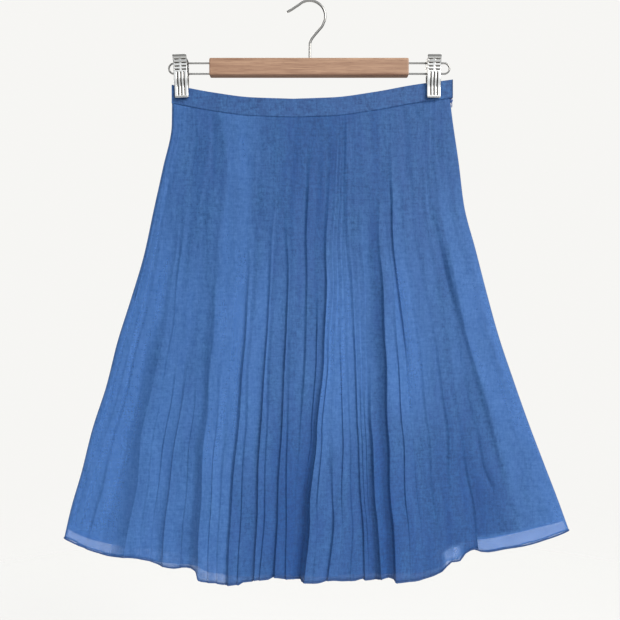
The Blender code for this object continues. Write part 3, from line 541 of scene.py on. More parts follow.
# Zip: the slider's face looks to +X, and the pull's eye hangs in its bridge. Rounds are of the
# corners, from the low one anticlockwise.
SLIDER_X = 0.1800
SLIDER_THICKNESS = 0.0011
SLIDER_TOP = -0.1245
SLIDER_HEIGHT = 0.0050
SLIDER_WIDTH = 0.0038
SLIDER_ROUNDS = (0.0014, 0.0014, 0.0006, 0.0006)
SLIDER_EDGE = 0.00020
BRIDGE_THICKNESS = 0.0012
BRIDGE_WALL = 0.0006
BRIDGE_WINDOW = 0.0017
BRIDGE_ROUNDS = (0.0001, 0.0009, 0.0009, 0.0001)
WINDOW_ROUNDS = (0.0001, 0.0006, 0.0006, 0.0001)
WINDOW_GAP = 0.00005
HINGE = (0.18195, 0.0, -0.1265)
PULL_LENGTH = 0.0086
PULL_WIDTH = 0.0040
PULL_THICKNESS = 0.0008
PULL_EYE_WIDTH = 0.0022
PULL_EYE_LENGTH = 0.0027
PULL_ROUNDS = (0.0015, 0.0015, 0.0003, 0.0003)
PULL_EYE_ROUNDS = (0.0008, 0.0008, 0.0001, 0.0001)
PULL_EDGE = 0.00015

# Panels. side is the way one faces along Y, and lay the way its pleats climb along X: both run
# round the body the same way. The noises are layers of the noise, each used once.
Panel = namedtuple("Panel", "name side lay hem folds creases sheer noise lining_noise band_noise")
FRONT = Panel("front", -1, 1, FRONT_HEM, FRONT_FOLDS, FRONT_CREASES, FRONT_SHEER, 3.0, 15.0, 25.0)
BACK = Panel("back", 1, -1, BACK_HEM, BACK_FOLDS, BACK_CREASES, BACK_SHEER, 9.0, 19.0, 29.0)


def smooth(share):
    """Ease from 0 to 1."""
    t = np.clip(share, 0.0, 1.0)
    return t * t * (3.0 - 2.0 * t)


def mix(first, second, share):
    return first + (second - first) * share


def curve_through(keys, values, at):
    """Smooth curve through the values that never overshoots, read at an array of places."""
    keys, values, at = (np.asarray(each, dtype=float) for each in (keys, values, at))
    slopes = np.diff(values) / np.diff(keys)
    product = slopes[:-1] * slopes[1:]
    total = slopes[:-1] + slopes[1:]
    inner = np.where(product > 0.0, 2.0 * product / np.where(product > 0.0, total, 1.0), 0.0)
    tangents = np.concatenate((slopes[:1], inner, slopes[-1:]))
    at = np.clip(at, keys[0], keys[-1])
    i = np.clip(np.searchsorted(keys, at, side="right") - 1, 0, len(keys) - 2)
    span = keys[i + 1] - keys[i]
    t = (at - keys[i]) / span
    return (
        values[i] * (1 + 2 * t) * (1 - t) ** 2
        + values[i + 1] * t * t * (3 - 2 * t)
        + tangents[i] * span * t * (1 - t) ** 2
        - tangents[i + 1] * span * t * t * (1 - t)
    )


def read(table, key, columns, at):
    """One column of a table at an array of places, or each of several columns."""
    if isinstance(columns, tuple):
        return [read(table, key, column, at) for column in columns]
    keys, values = ([getattr(row, name) for row in table] for name in (key, columns))
    return curve_through(keys, values, at)


def ripple(x, z, size_x, size_z, layer):
    """Smooth random hills, about -1 to 1 high, the same on each run."""
    heights = [
        noise.noise(Vector((a / size_x, b / size_z, layer)))
        for a, b in zip(np.ravel(x), np.ravel(z))
    ]
    return np.array(heights).reshape(np.shape(x))


def seam_height(x):
    """Height of the waist seam at x."""
    return SEAM_LOWEST + read(WAIST_SAG, "away", "rise", np.abs(np.asarray(x) - SAG_CENTRE))


def across(panel, line, down):
    """Where a pleat line lies from left (0) to right (1)."""
    if panel is BACK:
        waist, middle, hem = read(BACK_FAN, "line", ("waist", "middle", "hem"), line)
        return (
            2 * waist * (down - 0.5) * (down - 1)
            - 4 * middle * down * (down - 1)
            + 2 * hem * down * (down - 0.5)
        )
    numbers, *levels = zip(*FRONT_LINES)
    share = np.zeros(np.broadcast(line, down).shape)
    weights = [curve_through(LEVELS, np.arange(len(LEVELS)) == k, down) for k in range(len(LEVELS))]
    total = sum(weights)
    for places, weight in zip(levels, weights):
        left, right = places[0], places[-1]
        share = share + weight / total * (curve_through(numbers, places, line) - left) / (right - left)
    return share


def bulge(u, down):
    """How full the flat-hanging skirt is across its width: 0 at the sides, 1 in the middle."""
    at_waist = smooth((np.minimum(u, 1 - u) - FULL_FROM) / FULL_OVER)
    at_hem = 1.0 - np.abs(2 * u - 1) ** HEM_BULGE
    return mix(at_waist, at_hem, smooth(down / WAIST_FORM_ENDS))


def side_places(down):
    return read(SECTIONS, "down", ("left", "right"), down)


def line_place(panel, line, down):
    return mix(*side_places(down), across(panel, line, down))


def back_steps():
    """Wide and narrow pleats by turns, uneven like the front's."""
    steps = []
    for line in range(1, PLEATS):
        wide = line % 2
        share = float(read(RELIEF, "line", "share", line))
        uneven = 1 + BACK_UNEVEN * math.sin(BACK_UNEVEN_TURN * line)
        later = BACK_LATER * (1 + math.sin(BACK_LATER_TURN * line))
        opens, full = BACK_WIDE_OPENS if wide else BACK_NARROW_OPENS
        rise = (BACK_WIDE_RISE if wide else BACK_NARROW_RISE) * share * uneven
        steps.append(Step(line, rise, opens + later, full + later, level=BACK_LEVEL if wide else None))
    return steps


def growth(step, down):
    """How far a step has grown at each level, and how far it has faded again."""
    grown = smooth((down - step.opens) / (step.full - step.opens))
    return grown, smooth((down - step.fade) / FADES_OVER)


def step_sizes(step, down):
    """Rise and width of a step at each level."""
    grown, faded = growth(step, down)
    rise = np.maximum(step.rise * grown * (1 - faded), PRESSED)
    return rise, (mix(SOFT_WIDTH, CRISP_WIDTH * step.wide, grown) + STEP_WIDENS * step.wide * rise)


def low_side(step, down):
    grown, faded = growth(step, down)
    return step.level * grown * mix(1.0, LEVEL_LEFT, faded)


def facet_heights(panel, steps, down):
    """Height of the even facets at each line: straight from each high side to the next low side."""
    left, right = side_places(down)
    places, heights = [left], [np.zeros_like(down)]
    for step in steps:
        if step.level is not None:
            low = low_side(step, down)
            places += [line_place(panel, step.line, down)] * 2
            heights += [low, low + step_sizes(step, down)[0]][:: panel.lay]
    places, heights = np.stack(places + [right], axis=-1), np.stack(heights + [heights[0]], axis=-1)
    lines = (line_place(panel, step.line, down) for step in steps)
    return [np.array([np.interp(*row) for row in zip(at, places, heights)]) for at in lines]


def pleat_knots(panel, down):
    """x and height of the corners of the pleats at each level, from left to right."""
    steps = FRONT_STEPS if panel is FRONT else back_steps()
    lines = np.stack([line_place(panel, step.line, down) for step in steps])
    room = np.diff(lines, axis=0, prepend=lines[:1] - ROOM_AT_ENDS, append=lines[-1:] + ROOM_AT_ENDS)
    room = STEP_ROOM * np.minimum(room[:-1], room[1:])
    places, heights = [], []
    for step, facet, line, most in zip(steps, facet_heights(panel, steps, down), lines, room):
        rise, width = step_sizes(step, down)
        width = np.minimum(width, most)
        low = facet - rise / 2 if step.level is None else low_side(step, down)
        middle = line + panel.lay * STEP_ASIDE * rise
        for knot in STEP_KNOTS[:: panel.lay]:
            places.append(middle + panel.lay * knot.aside * width)
            heights.append(low + knot.share * rise)
    return np.stack(places, axis=-1), np.stack(heights, axis=-1)


def panel_columns(knots, left, right):
    """x of each column of points at each level: the corners of the pleats and some between them."""
    count = len(STEP_KNOTS)
    insets = (0.0,) + EDGE_INSETS
    columns = [left + inset for inset in insets]
    knots = np.maximum.accumulate(knots + CLOSEST * np.arange(knots.shape[1]), axis=1)
    ends = [right - inset for inset in reversed(insets)]
    for start in range(0, knots.shape[1] + 1, count):
        last = start == knots.shape[1]
        before, after = columns[-1], ends[0] if last else knots[:, start]
        for share in np.linspace(FACET_EDGE, 1 - FACET_EDGE, FACET_COLUMNS):
            columns.append(mix(before, after, share))
        columns += ends if last else [knots[:, start + n] for n in range(count)]
    return np.stack(columns, axis=-1)


def fold_out(folds, line, down):
    """Sum of the large folds at a pleat line."""
    total = np.zeros(np.broadcast(line, down).shape)
    for fold in folds:
        grown = smooth((down - fold.start) / (1.0 - fold.start))
        away = line - fold.line
        low = -fold.sink * np.exp(-(((away + fold.ramp) / fold.sink_width) ** 2))
        climb = mix(-fold.sink, fold.rise, smooth(1 + away / fold.ramp))
        high = fold.rise * np.exp(-((away / fold.rise_width) ** 2))
        push = np.where(away <= -fold.ramp, low, np.where(away < 0, climb, high))
        total = total + push * grown
    return total


def crease_out(creases, x, z):
    """Sum of the single creases and ridges."""
    total = np.zeros(x.shape)
    for start_x, start_z, to_x, to_z, depth, width in creases:
        along_x, along_z = to_x - start_x, to_z - start_z
        length = math.hypot(along_x, along_z)
        share = ((x - start_x) * along_x + (z - start_z) * along_z) / length**2
        aside = ((x - start_x) * along_z - (z - start_z) * along_x) / length
        ends = smooth(share * 4 + 1.0) * smooth((1 - share) * 4 + 1.0)
        total -= depth * ends * np.exp(-((aside / width) ** 2))
    return total


def layers_and_painted_shade_at(panel, line, down):
    """Layers of cloth at each point, which also carry painted shade."""
    found, middle, hem = read(LAYERS_AND_PAINTED_SHADE, "line", ("waist", "middle", "hem"), line)
    for below, (start, end) in ((middle, MIDDLE_LAYERS), (hem, HEM_LAYERS)):
        found = mix(found, below, smooth((down - start) / (end - start)))
    for sheer in panel.sheer:
        inside = (line >= sheer.first) & (line <= sheer.last) & (down > SHEER_FROM)
        found = np.where(inside, sheer.layers, found)
    return found


def panel_points(panel, down):
    """Outer face of a pleated panel, a row of points for each level, and how layered it is there, with its
    painted shade.
    """
    left, right = side_places(down)
    knots, heights = pleat_knots(panel, down)
    x = panel_columns(knots, left, right)
    numbers = np.arange(PLEATS + 1.0)
    lines = line_place(panel, numbers[None, :], down[:, None])
    pleats = np.array([np.interp(*row) for row in zip(x, knots, heights)])
    line = np.array([np.interp(row, places, numbers) for row, places in zip(x, lines)])

    left, right, down = left[:, None], right[:, None], down[:, None]
    u = (x - left) / (right - left)
    edge = np.minimum(u, 1 - u) * (right - left)
    z = mix(seam_height(x[0]) + CAUGHT, -read(panel.hem, "across", "drop", u[-1]), down)
    roll = SEAM_OUT + ROLL_OUT * (1.0 - np.exp(-edge / ROLL_REACH))
    middle = read(SECTIONS, "down", panel.name, down)
    out = roll + (middle - SEAM_OUT - ROLL_OUT) * bulge(u, down)
    everywhere = np.broadcast_to(down, line.shape)
    streaks = ripple(line, everywhere, STREAK_LINES, STREAK_LENGTH, panel.noise + STREAK_NOISE)
    waves = sum(
        wave.out * ripple(x, z, wave.size_x, wave.size_z, panel.noise + wave.noise) for wave in WAVES
    )
    out = out + smooth(edge / RELIEF_SIDE) * (
        pleats
        + fold_out(panel.folds, line, down)
        + crease_out(panel.creases, x, z)
        + (waves + CRINKLE_OUT * streaks) * smooth(down / WAVES_FROM)
    )
    tucked = TUCKED * (1 - smooth(down / TUCK_ENDS)) * smooth(edge / TUCK_SIDE)
    double = SEAM_LAYERS * (1 - smooth((edge - SEAM_ALLOWANCE) / SEAM_ENDS_OVER))
    usual = layers_and_painted_shade_at(panel, line, down)
    layers = np.maximum(usual + STREAKS * streaks * (usual > 0), double)
    return np.stack((x, panel.side * (out - tucked), z), axis=-1), layers


def new_object(name, mesh):
    obj = bpy.data.objects.new(name, mesh)
    bpy.context.scene.collection.objects.link(obj)
    return obj


def finished(name, mesh, material, body=HELD):
    """Piece with its material, riding on its body."""
    mesh.materials.append(material)
    piece = new_object(name, mesh)
    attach(piece, body)
    return piece


def mesh_piece(name, points, faces, material):
    mesh = bpy.data.meshes.new(name)
    mesh.from_pydata([tuple(point) for point in points], [], faces)
    mesh.polygons.foreach_set("use_smooth", [True] * len(mesh.polygons))
    mesh.update()
    return finished(name, mesh, material)


def grid_faces(count, columns, around=False, flip=False):
    """Quads of a grid of points; around joins the last column to the first."""
    faces = []
    for r in range(count - 1):
        for c in range(columns if around else columns - 1):
            after = (c + 1) % columns
            face = (r * columns + c, (r + 1) * columns + c, (r + 1) * columns + after, r * columns + after)
            faces.append(tuple(reversed(face)) if flip else face)
    return faces


def end_faces(count, columns):
    """Faces that close the first and the last row of a grid that runs around."""
    return [tuple(range(columns)), tuple((count - 1) * columns + n for n in reversed(range(columns)))]


def grid_piece(name, points, material, around=False, flip=False):
    faces = grid_faces(*points.shape[:2], around, flip)
    return mesh_piece(name, points.reshape(-1, 3), faces, material)


def solidify(obj, thickness):
    modifier = obj.modifiers.new("Thickness", "SOLIDIFY")
    modifier.thickness = thickness
    modifier.offset = -1.0


def set_attribute(obj, name, values):
    attribute = obj.data.attributes.new(name, "FLOAT", "POINT")
    attribute.data.foreach_set("value", values.ravel())


def cloth_name(panel, kind):
    return "{}_{}_cloth".format(kind, panel.name)


def cloth_piece(panel, kind, points, material, thickness):
    """Thin shell that stands for a panel's solid of that kind."""
    piece = grid_piece(cloth_name(panel, kind), points, material, flip=panel is BACK)
    solidify(piece, thickness)
    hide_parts(kind + "_" + panel.name)
    return piece


def make_panel(panel, cloth, thread):
    """One pleated panel with its rolled hem."""
    downs = np.concatenate((FIRST_ROWS, np.linspace(EVEN_ROWS_FROM, 1.0, PANEL_ROWS)))
    points, layers = panel_points(panel, downs)
    piece = cloth_piece(panel, "skirt", points, cloth, CLOTH_THICKNESS)
    set_attribute(piece, LAYERS_AND_PAINTED_SHADE_ATTRIBUTE, layers)

    roll = roll_along(points[-1], points[-2])
    hem = grid_piece("rolled_hem_" + panel.name, roll, thread, around=True, flip=panel is BACK)


def unit(vectors):
    return vectors / np.linalg.norm(vectors, axis=-1, keepdims=True)


def roll_along(edge, above):
    """Oval roll that follows a hem: rings round each point of the edge."""
    tangent = unit(np.gradient(edge, axis=0))
    downward = edge - above
    downward = unit(downward - np.sum(downward * tangent, axis=1, keepdims=True) * tangent)
    outward = np.cross(tangent, downward)
    rings = []
    for number in range(ROLL_SIDES):
        angle = 2 * math.pi * number / ROLL_SIDES
        lower = edge + downward * ROLL_HALF_HEIGHT * (math.cos(angle) - ROLL_UP)
        rings.append(lower + outward * ROLL_HALF_DEPTH * math.sin(angle))
    return np.stack(rings, axis=1)


def make_lining(panel, cloth):
    """Plain shell inside a panel, shorter than it."""
    share, level = np.meshgrid(np.linspace(0, 1, LINING_COLUMNS), np.linspace(0, 1, LINING_ROWS))
    down = level * (1.0 - LINING_SHORTER)
    left, right = side_places(down)
    x = mix(left + LINING_INSET, right - LINING_INSET, share)
    u = (x - left) / (right - left)
    waist_x = mix(BAND_LEFT, SECTIONS[0].right, u)
    z = mix(seam_height(waist_x) - GAP, -read(LINING_HEM, "across", "drop", u), level)
    out = mix(LINING_END_OUT, LINING_MIDDLE_OUT, bulge(u, down))
    sway = 0.5 + 0.5 * ripple(x, z, *LINING_WAVE_SIZE, panel.lining_noise)
    out = out - LINING_WAVE * sway * smooth(down / LINING_WAVE_FROM)
    points = np.stack((x, panel.side * out, z), axis=-1)
    piece = cloth_piece(panel, "lining", points, cloth, LINING_THICKNESS)


def make_waistband(panel, cloth):
    """Flat tube of doubled cloth with rounded edges, closed at both ends."""
    half = BAND_THICKNESS / 2
    turns = np.linspace(0, math.pi, BAND_POINTS)
    top = [(half * math.cos(turn), 1.0, half * math.sin(turn)) for turn in turns]
    foot = [
        (-half * math.cos(turn), 0.0, -BAND_LOW_FOLD * half * math.sin(turn))
        for turn in np.linspace(0, math.pi, BAND_FOOT_POINTS)
    ]
    inner = [(-half, up, 0.0) for up in np.linspace(*BAND_ROW_ENDS[::-1], BAND_POINTS)]
    outer = [(half, up, 0.0) for up in np.linspace(*BAND_ROW_ENDS, BAND_POINTS)]
    outs, ups, extras = (np.array(column) for column in zip(*(top + inner + foot + outer)))
    share, out_offset = np.meshgrid(np.linspace(0, 1, BAND_COLUMNS), outs, indexing="ij")
    x = mix(BAND_LEFT, BAND_RIGHT, share)
    out = mix(BAND_END_OUT, BAND_MIDDLE_OUT, bulge(share, np.zeros_like(share))) - half
    up = np.broadcast_to(ups, share.shape)
    out = out + BAND_WAVE * ripple(x, up * BAND_HEIGHT, *BAND_WAVE_SIZE, panel.band_noise)
    straight = BAND_HEIGHT - half - BAND_LOW_FOLD * half
    z = seam_height(x) + GAP / 2 + BAND_LOW_FOLD * half + up * straight + extras
    points = np.stack((x, panel.side * (out + out_offset), z), axis=-1)
    count, columns = points.shape[:2]
    faces = grid_faces(count, columns, around=True, flip=panel is FRONT)
    faces += [end[:: panel.lay] for end in end_faces(count, columns)]
    piece = mesh_piece(cloth_name(panel, "waistband"), points.reshape(-1, 3), faces, cloth)
    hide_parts("waistband_" + panel.name)


def tube_points(points, radii, sides):
    """Rings round a path, one for each of its points."""
    points = np.array(points, dtype=float)
    tangents = unit(np.gradient(points, axis=0))
    aside = np.cross(tangents[0], (0.0, 1.0, 0.0) if abs(tangents[0][1]) < 0.9 else (0.0, 0.0, 1.0))
    angles = 2 * math.pi * np.arange(sides) / sides
    rings = []
    for point, tangent, radius in zip(points, tangents, np.broadcast_to(radii, len(points))):
        aside = unit(aside - tangent * np.dot(aside, tangent))
        other = np.cross(tangent, aside)
        rings.append(point + radius * (np.outer(np.cos(angles), aside) + np.outer(np.sin(angles), other)))
    return np.stack(rings)


def tube_piece(name, points, radii, sides, material, node=None):
    """Closed tube along a path."""
    rings = tube_points(points, radii, sides)
    faces = grid_faces(len(rings), sides, around=True) + end_faces(len(rings), sides)
    piece = mesh_piece(name, rings.reshape(-1, 3), faces, material)
    if node:
        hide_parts(node)


def smoothed_path(points, steps):
    """More points on a smooth curve through the given ones."""
    points = np.array([points[0]] + list(points) + [points[-1]], dtype=float)
    path = []
    for a, b, c, d in zip(points, points[1:], points[2:], points[3:]):
        for t in np.arange(steps) / steps:
            bend = 2 * a - 5 * b + 4 * c - d + t * (3 * (b - c) + d - a)
            path.append(b + 0.5 * t * (c - a + t * bend))
    return np.array(path + [points[-1]])


def arc(x, z, radius, angles, way=1):
    """Points of an arc in the middle plane; way -1 mirrors it from left to right."""
    return [(x + way * radius * math.cos(turn), 0.0, z + radius * math.sin(turn)) for turn in angles]


def make_hook(metal):
    spots = [(x, 0.0, z) for x, z in HOOK_TIP]
    spots += arc(0.0, HOOK_CENTRE, HOOK_RADIUS, np.radians(np.linspace(*HOOK_ARC, HOOK_ARC_STEPS + 1)))
    spots += [(x, 0.0, z) for x, z in HOOK_NECK + ((STEM_X, BAR_TOP - WIRE_REACH),)]
    path = smoothed_path(spots, CURVE_STEPS)
    radii = np.full(len(path), HOOK_WIRE_RADIUS)
    radii[: len(HOOK_TIP_ROUND)] *= HOOK_TIP_ROUND
    tube_piece("hook_wire", path, radii, HOOK_SIDES, metal, "hanger_hook")


def make_rail(name, bar_end, turn_end, metal):
    """Wire loop from inside the bar out to a half turn and back."""
    away = math.copysign(1.0, turn_end)
    start, turn_x = bar_end - away * WIRE_REACH, turn_end - away * RAIL_OFFSET
    out = np.linspace(0, RAIL_STRAIGHT, RAIL_STEPS)
    back = np.linspace(1 - RAIL_STRAIGHT, 1, RAIL_STEPS)
    turns = np.linspace(math.pi / 2, -math.pi / 2, RAIL_TURN_STEPS + 1)
    path = [(mix(start, turn_x, share), 0.0, PIN_HEIGHT + RAIL_OFFSET) for share in out]
    path += arc(turn_x, PIN_HEIGHT, RAIL_OFFSET, turns, away)
    path += [(mix(turn_x, start, share), 0.0, PIN_HEIGHT - RAIL_OFFSET) for share in back]
    tube_piece(name + "_wire", path, RAIL_RADIUS, RAIL_SIDES, metal, name)


def on_clip(clip, points):
    """Points given from the middle of a clip's pin, put where the clip hangs."""
    points = np.asarray(points, dtype=float)
    x, y, z = points[..., 0], points[..., 1], points[..., 2]
    cosine, sine = math.cos(math.radians(clip.lean)), math.sin(math.radians(clip.lean))
    return np.stack((clip.x + x * cosine - z * sine, y, PIN_HEIGHT + x * sine + z * cosine), axis=-1)


def rounded_off(distance, radius):
    """How far a rounded edge falls back at a distance from it."""
    inside = np.clip(radius - distance, 0.0, radius)
    return radius - np.sqrt(radius**2 - inside**2)


def groove(away, half):
    """Rounded groove: 1 along its middle and 0 beyond its half width."""
    return smooth((1.0 - np.abs(away) / half) / GROOVE_SLOPE)


def jaw_hollows(x, up):
    """Grooves of a front jaw: upright ones below, and level ones in two columns for the thumb."""
    ends = smooth((up - RIDGE_LOW) / HOLLOW_EASE) * smooth((RIDGE_HIGH - up) / HOLLOW_EASE)
    total = np.zeros_like(x)
    for number in range(RIDGE_COUNT - 1):
        middle = (number - (RIDGE_COUNT - 2) / 2) * RIDGE_PITCH
        total += groove(x - middle, GROOVE_WIDTH / 2) * ends
    for number in range(GROOVE_COUNT):
        level = groove(up - GROOVE_FIRST - number * RIDGE_PITCH, GROOVE_WIDTH / 2)
        for side in (-1, 1):
            total += level * groove(x - side * FRONT_JAW_WIDTH / 4, GROOVE_LENGTH / 2)
    return np.clip(total, 0.0, 1.0)


def jaw_out(up):
    """How far out from the pin a jaw's plate lies at a height."""
    return read(JAW_PROFILE, "up", "out", up)


def make_jaw(clip, word, side, width, metal):
    """Bent and stamped plate of a jaw."""
    ups = np.linspace(JAW_PROFILE[0].up, JAW_PROFILE[-1].up, JAW_ROWS)
    shares = np.sin(np.linspace(-math.pi / 2, math.pi / 2, JAW_COLUMNS))
    share, up = np.meshgrid(mix(shares, np.linspace(-1, 1, JAW_COLUMNS), JAW_EVEN), ups)
    end = np.minimum(up - ups[0], ups[-1] - up)
    x = share * (width / 2 - rounded_off(end, JAW_EDGE))
    out = jaw_out(up) + JAW_THICKNESS / 2 - rounded_off(width / 2 - np.abs(x), JAW_EDGE)
    hollow = jaw_hollows(x, up) if word == "front" else np.zeros_like(x)
    points = np.stack((x, side * (out + RIDGE_PROUD * (1 - hollow)), up), axis=-1)
    piece = grid_piece("{}_{}_plate".format(clip.name, word), on_clip(clip, points), metal, flip=side < 0)
    # painted shade in the grooves and a painted dark reflection on the upturned lip, carried by this
    # attribute
    lip = LIP_SHADE * smooth((up - LIP_FROM) / HOLLOW_EASE)
    set_attribute(piece, JAW_PAINTED_SHADE_ATTRIBUTE, np.maximum(hollow, lip))
    solidify(piece, JAW_THICKNESS)
    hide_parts("{}_{}_jaw".format(clip.name, word))


def round_loop(low, high, rounds, steps=6):
    """Rectangle with rounded corners, from the low corner anticlockwise."""
    corners = ((low[0], low[1], 180), (high[0], low[1], 270), (high[0], high[1], 0), (low[0], high[1], 90))
    loop = []
    for (x, y, turn), radius in zip(corners, rounds):
        x += math.copysign(radius, (low[0] + high[0]) / 2 - x)
        y += math.copysign(radius, (low[1] + high[1]) / 2 - y)
        for angle in np.radians(np.linspace(turn, turn + 90, steps)):
            loop.append((x + radius * math.cos(angle), y + radius * math.sin(angle)))
    return loop


def centred_loop(width, height, rounds):
    return round_loop((-width / 2, -height / 2), (width / 2, height / 2), rounds)


def circle_loop(x, y, radius, steps=24):
    angles = 2 * math.pi * np.arange(steps) / steps
    return [(x + radius * math.cos(angle), y + radius * math.sin(angle)) for angle in angles]


def plate_piece(name, loops, thickness, edge, place, material, body=HELD):
    """Flat plate with holes and softened edges. place turns (across, up, through) into (x, y, z)."""
    curve = bpy.data.curves.new(name, "CURVE")
    curve.dimensions = "2D"
    curve.fill_mode = "BOTH"
    curve.extrude = thickness / 2
    for loop in loops:
        spline = curve.splines.new("POLY")
        spline.points.add(len(loop) - 1)
        spline.points.foreach_set("co", [value for spot in loop for value in (*spot, 0.0, 1.0)])
        spline.use_cyclic_u = True
    drawn = bpy.data.objects.new(name, curve)
    mesh = bpy.data.meshes.new_from_object(drawn)
    bpy.data.objects.remove(drawn)
    bm = bmesh.new()
    bm.from_mesh(mesh)
    bmesh.ops.remove_doubles(bm, verts=bm.verts, dist=CLOSEST)
    for vertex in bm.verts:
        vertex.co = Vector(place(vertex.co))
    bmesh.ops.recalc_face_normals(bm, faces=bm.faces)
    bm.to_mesh(mesh)
    bm.free()
    mesh.materials.clear()
    piece = finished(name, mesh, material, body)
    soften = piece.modifiers.new("Soft edges", "BEVEL")
    soften.width = edge
    soften.segments = 2
    return piece


def make_ears(clip, word, side, x, height, metal):
    """The two side plates of a jaw, with their holes for the pin and the rails."""
    face = float(jaw_out(0.0)) - EAR_TUCK
    low, high = (-face, EAR_REACH) if side < 0 else (-EAR_REACH, face)
    rounds = (EAR_SMALL_ROUND, EAR_ROUND, EAR_ROUND, EAR_SMALL_ROUND)
    if side > 0:
        rounds = (EAR_ROUND, EAR_SMALL_ROUND, EAR_SMALL_ROUND, EAR_ROUND)
    loops = [round_loop((low, -height / 2), (high, height / 2), rounds), circle_loop(0.0, 0.0, PIN_RADIUS)]
    if height > 2 * RAIL_OFFSET:
        loops += [circle_loop(0.0, turn * RAIL_OFFSET, RAIL_HOLE_RADIUS) for turn in (-1, 1)]
    for end, sign in (("left", -1), ("right", 1)):
        name = "{}_{}_ear_{}".format(clip.name, word, end)
        place = lambda co: on_clip(clip, (sign * x + co.z, co.x, co.y))
        plate_piece(name, loops, EAR_THICKNESS, FINE_EDGE, place, metal)


def make_pin(clip, metal):
    """Pin with rounded heads, and the coil spring round it with a leg along each jaw."""
    end = FRONT_JAW_WIDTH / 2 + PIN_GAP
    tip = end + PIN_HEAD_WIDTH
    profile = [(-(tip - back), share * PIN_HEAD_RADIUS) for back, share in PIN_HEAD_FORM]
    profile += [(-end, PIN_HEAD_RADIUS), (-end, PIN_RADIUS), (0.0, PIN_RADIUS)]
    profile += [(-x, radius) for x, radius in reversed(profile[:-1])]
    path = on_clip(clip, [(x + NUDGE * n, 0.0, 0.0) for n, (x, _) in enumerate(profile)])
    radii = [radius for _, radius in profile]
    tube_piece(clip.name + "_pin_wire", path, radii, PIN_SIDES, metal, clip.name + "_pin")

    spots = []
    for share in np.linspace(0.0, 1.0, SPRING_TURNS * SPRING_TURN_STEPS + 1):
        angle = 2 * math.pi * SPRING_TURNS * share
        y, z = -SPRING_RADIUS * math.cos(angle), SPRING_RADIUS * math.sin(angle)
        spots.append((mix(-0.5, 0.5, share) * SPRING_WIDTH, y, z))
    wires = {"_spring_coil": spots}
    for number, side in enumerate((-1, 1)):
        x = spots[-number][0]
        first = (x, side * SPRING_RADIUS, SPRING_LEG_TOP)
        last = (x, side * (float(jaw_out(-SPRING_LEG)) - SPRING_LEG_IN), -SPRING_LEG)
        wires["_spring_leg_{}".format(number)] = [first, tuple(np.add(first, last) / 2), last]
    for name, wire in wires.items():
        tube_piece(clip.name + name, on_clip(clip, wire), SPRING_WIRE_RADIUS, SPRING_SIDES, metal)


def make_pads(clip, rubber):
    inner = float(jaw_out(PAD_HIGH)) - JAW_THICKNESS / 2 - GAP
    middle = (PAD_LOW + PAD_HIGH) / 2
    loops = [centred_loop(PAD_WIDTH, PAD_HIGH - PAD_LOW, (PAD_ROUND,) * 4)]
    for word, side in (("front", -1), ("back", 1)):
        name = "{}_{}_".format(clip.name, word)
        y = side * (inner - PAD_THICKNESS / 2)
        place = lambda co: on_clip(clip, (co.x, y + co.z, middle + co.y))
        pad = plate_piece(name + "grip", loops, PAD_THICKNESS, PAD_EDGE, place, rubber)
        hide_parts(name + "pad")


def make_clips(metal, painted_shade_metal, rubber):
    front_ear = (FRONT_JAW_WIDTH - EAR_THICKNESS) / 2
    back_ear = FRONT_JAW_WIDTH / 2 - 1.5 * EAR_THICKNESS - GAP
    for clip in CLIPS:
        make_jaw(clip, "front", -1, FRONT_JAW_WIDTH, metal)
        # the back jaw and the ears take the darker copy of the nickel: painted shade
        make_jaw(clip, "back", 1, BACK_JAW_WIDTH, painted_shade_metal)
        make_ears(clip, "front", -1, front_ear, FRONT_EAR_HEIGHT, painted_shade_metal)
        make_ears(clip, "back", 1, back_ear, BACK_EAR_HEIGHT, painted_shade_metal)
        make_pin(clip, metal)
        make_pads(clip, rubber)


def make_zip(enamel):
    """Slider with its bridge, and the pull whose eye hangs in it."""
    middle = SLIDER_TOP - SLIDER_HEIGHT / 2
    face = SLIDER_X + SLIDER_THICKNESS
    body = centred_loop(SLIDER_WIDTH, SLIDER_HEIGHT, SLIDER_ROUNDS)
    place = lambda co: (SLIDER_X + SLIDER_THICKNESS / 2 + co.z, co.x, middle + co.y)
    slider = plate_piece("zip_slider_body", [body], SLIDER_THICKNESS, SLIDER_EDGE, place, enamel)
    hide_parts("zip_slider")

    up, out = BRIDGE_WINDOW / 2, face + BRIDGE_WINDOW
    reach = up + BRIDGE_WALL
    bridge = round_loop((face - SLIDER_THICKNESS / 2, -reach), (out + BRIDGE_WALL, reach), BRIDGE_ROUNDS)
    window = round_loop((face + WINDOW_GAP, -up), (out, up), WINDOW_ROUNDS)
    place = lambda co: (co.x, co.z, HINGE[2] + co.y)
    loops = [bridge, window]
    plate_piece("zip_slider_bridge", loops, BRIDGE_THICKNESS, FINE_EDGE, place, enamel)

    top = PULL_THICKNESS / 2
    outline = round_loop((-PULL_WIDTH / 2, -PULL_LENGTH), (PULL_WIDTH / 2, top), PULL_ROUNDS)
    low, high = (-PULL_EYE_WIDTH / 2, -top - PULL_EYE_LENGTH), (PULL_EYE_WIDTH / 2, -top)
    loops = [outline, round_loop(low, high, PULL_EYE_ROUNDS)]
    place = lambda co: (HINGE[0] + co.z, co.x, HINGE[2] + co.y)
    pull = plate_piece("zip_pull_tab", loops, PULL_THICKNESS, PULL_EDGE, place, enamel, TAB)
    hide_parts("zip_pull")


def link_input(socket, value):
    if isinstance(value, bpy.types.NodeSocket):
        socket.id_data.links.new(value, socket)
    else:
        socket.default_value = value


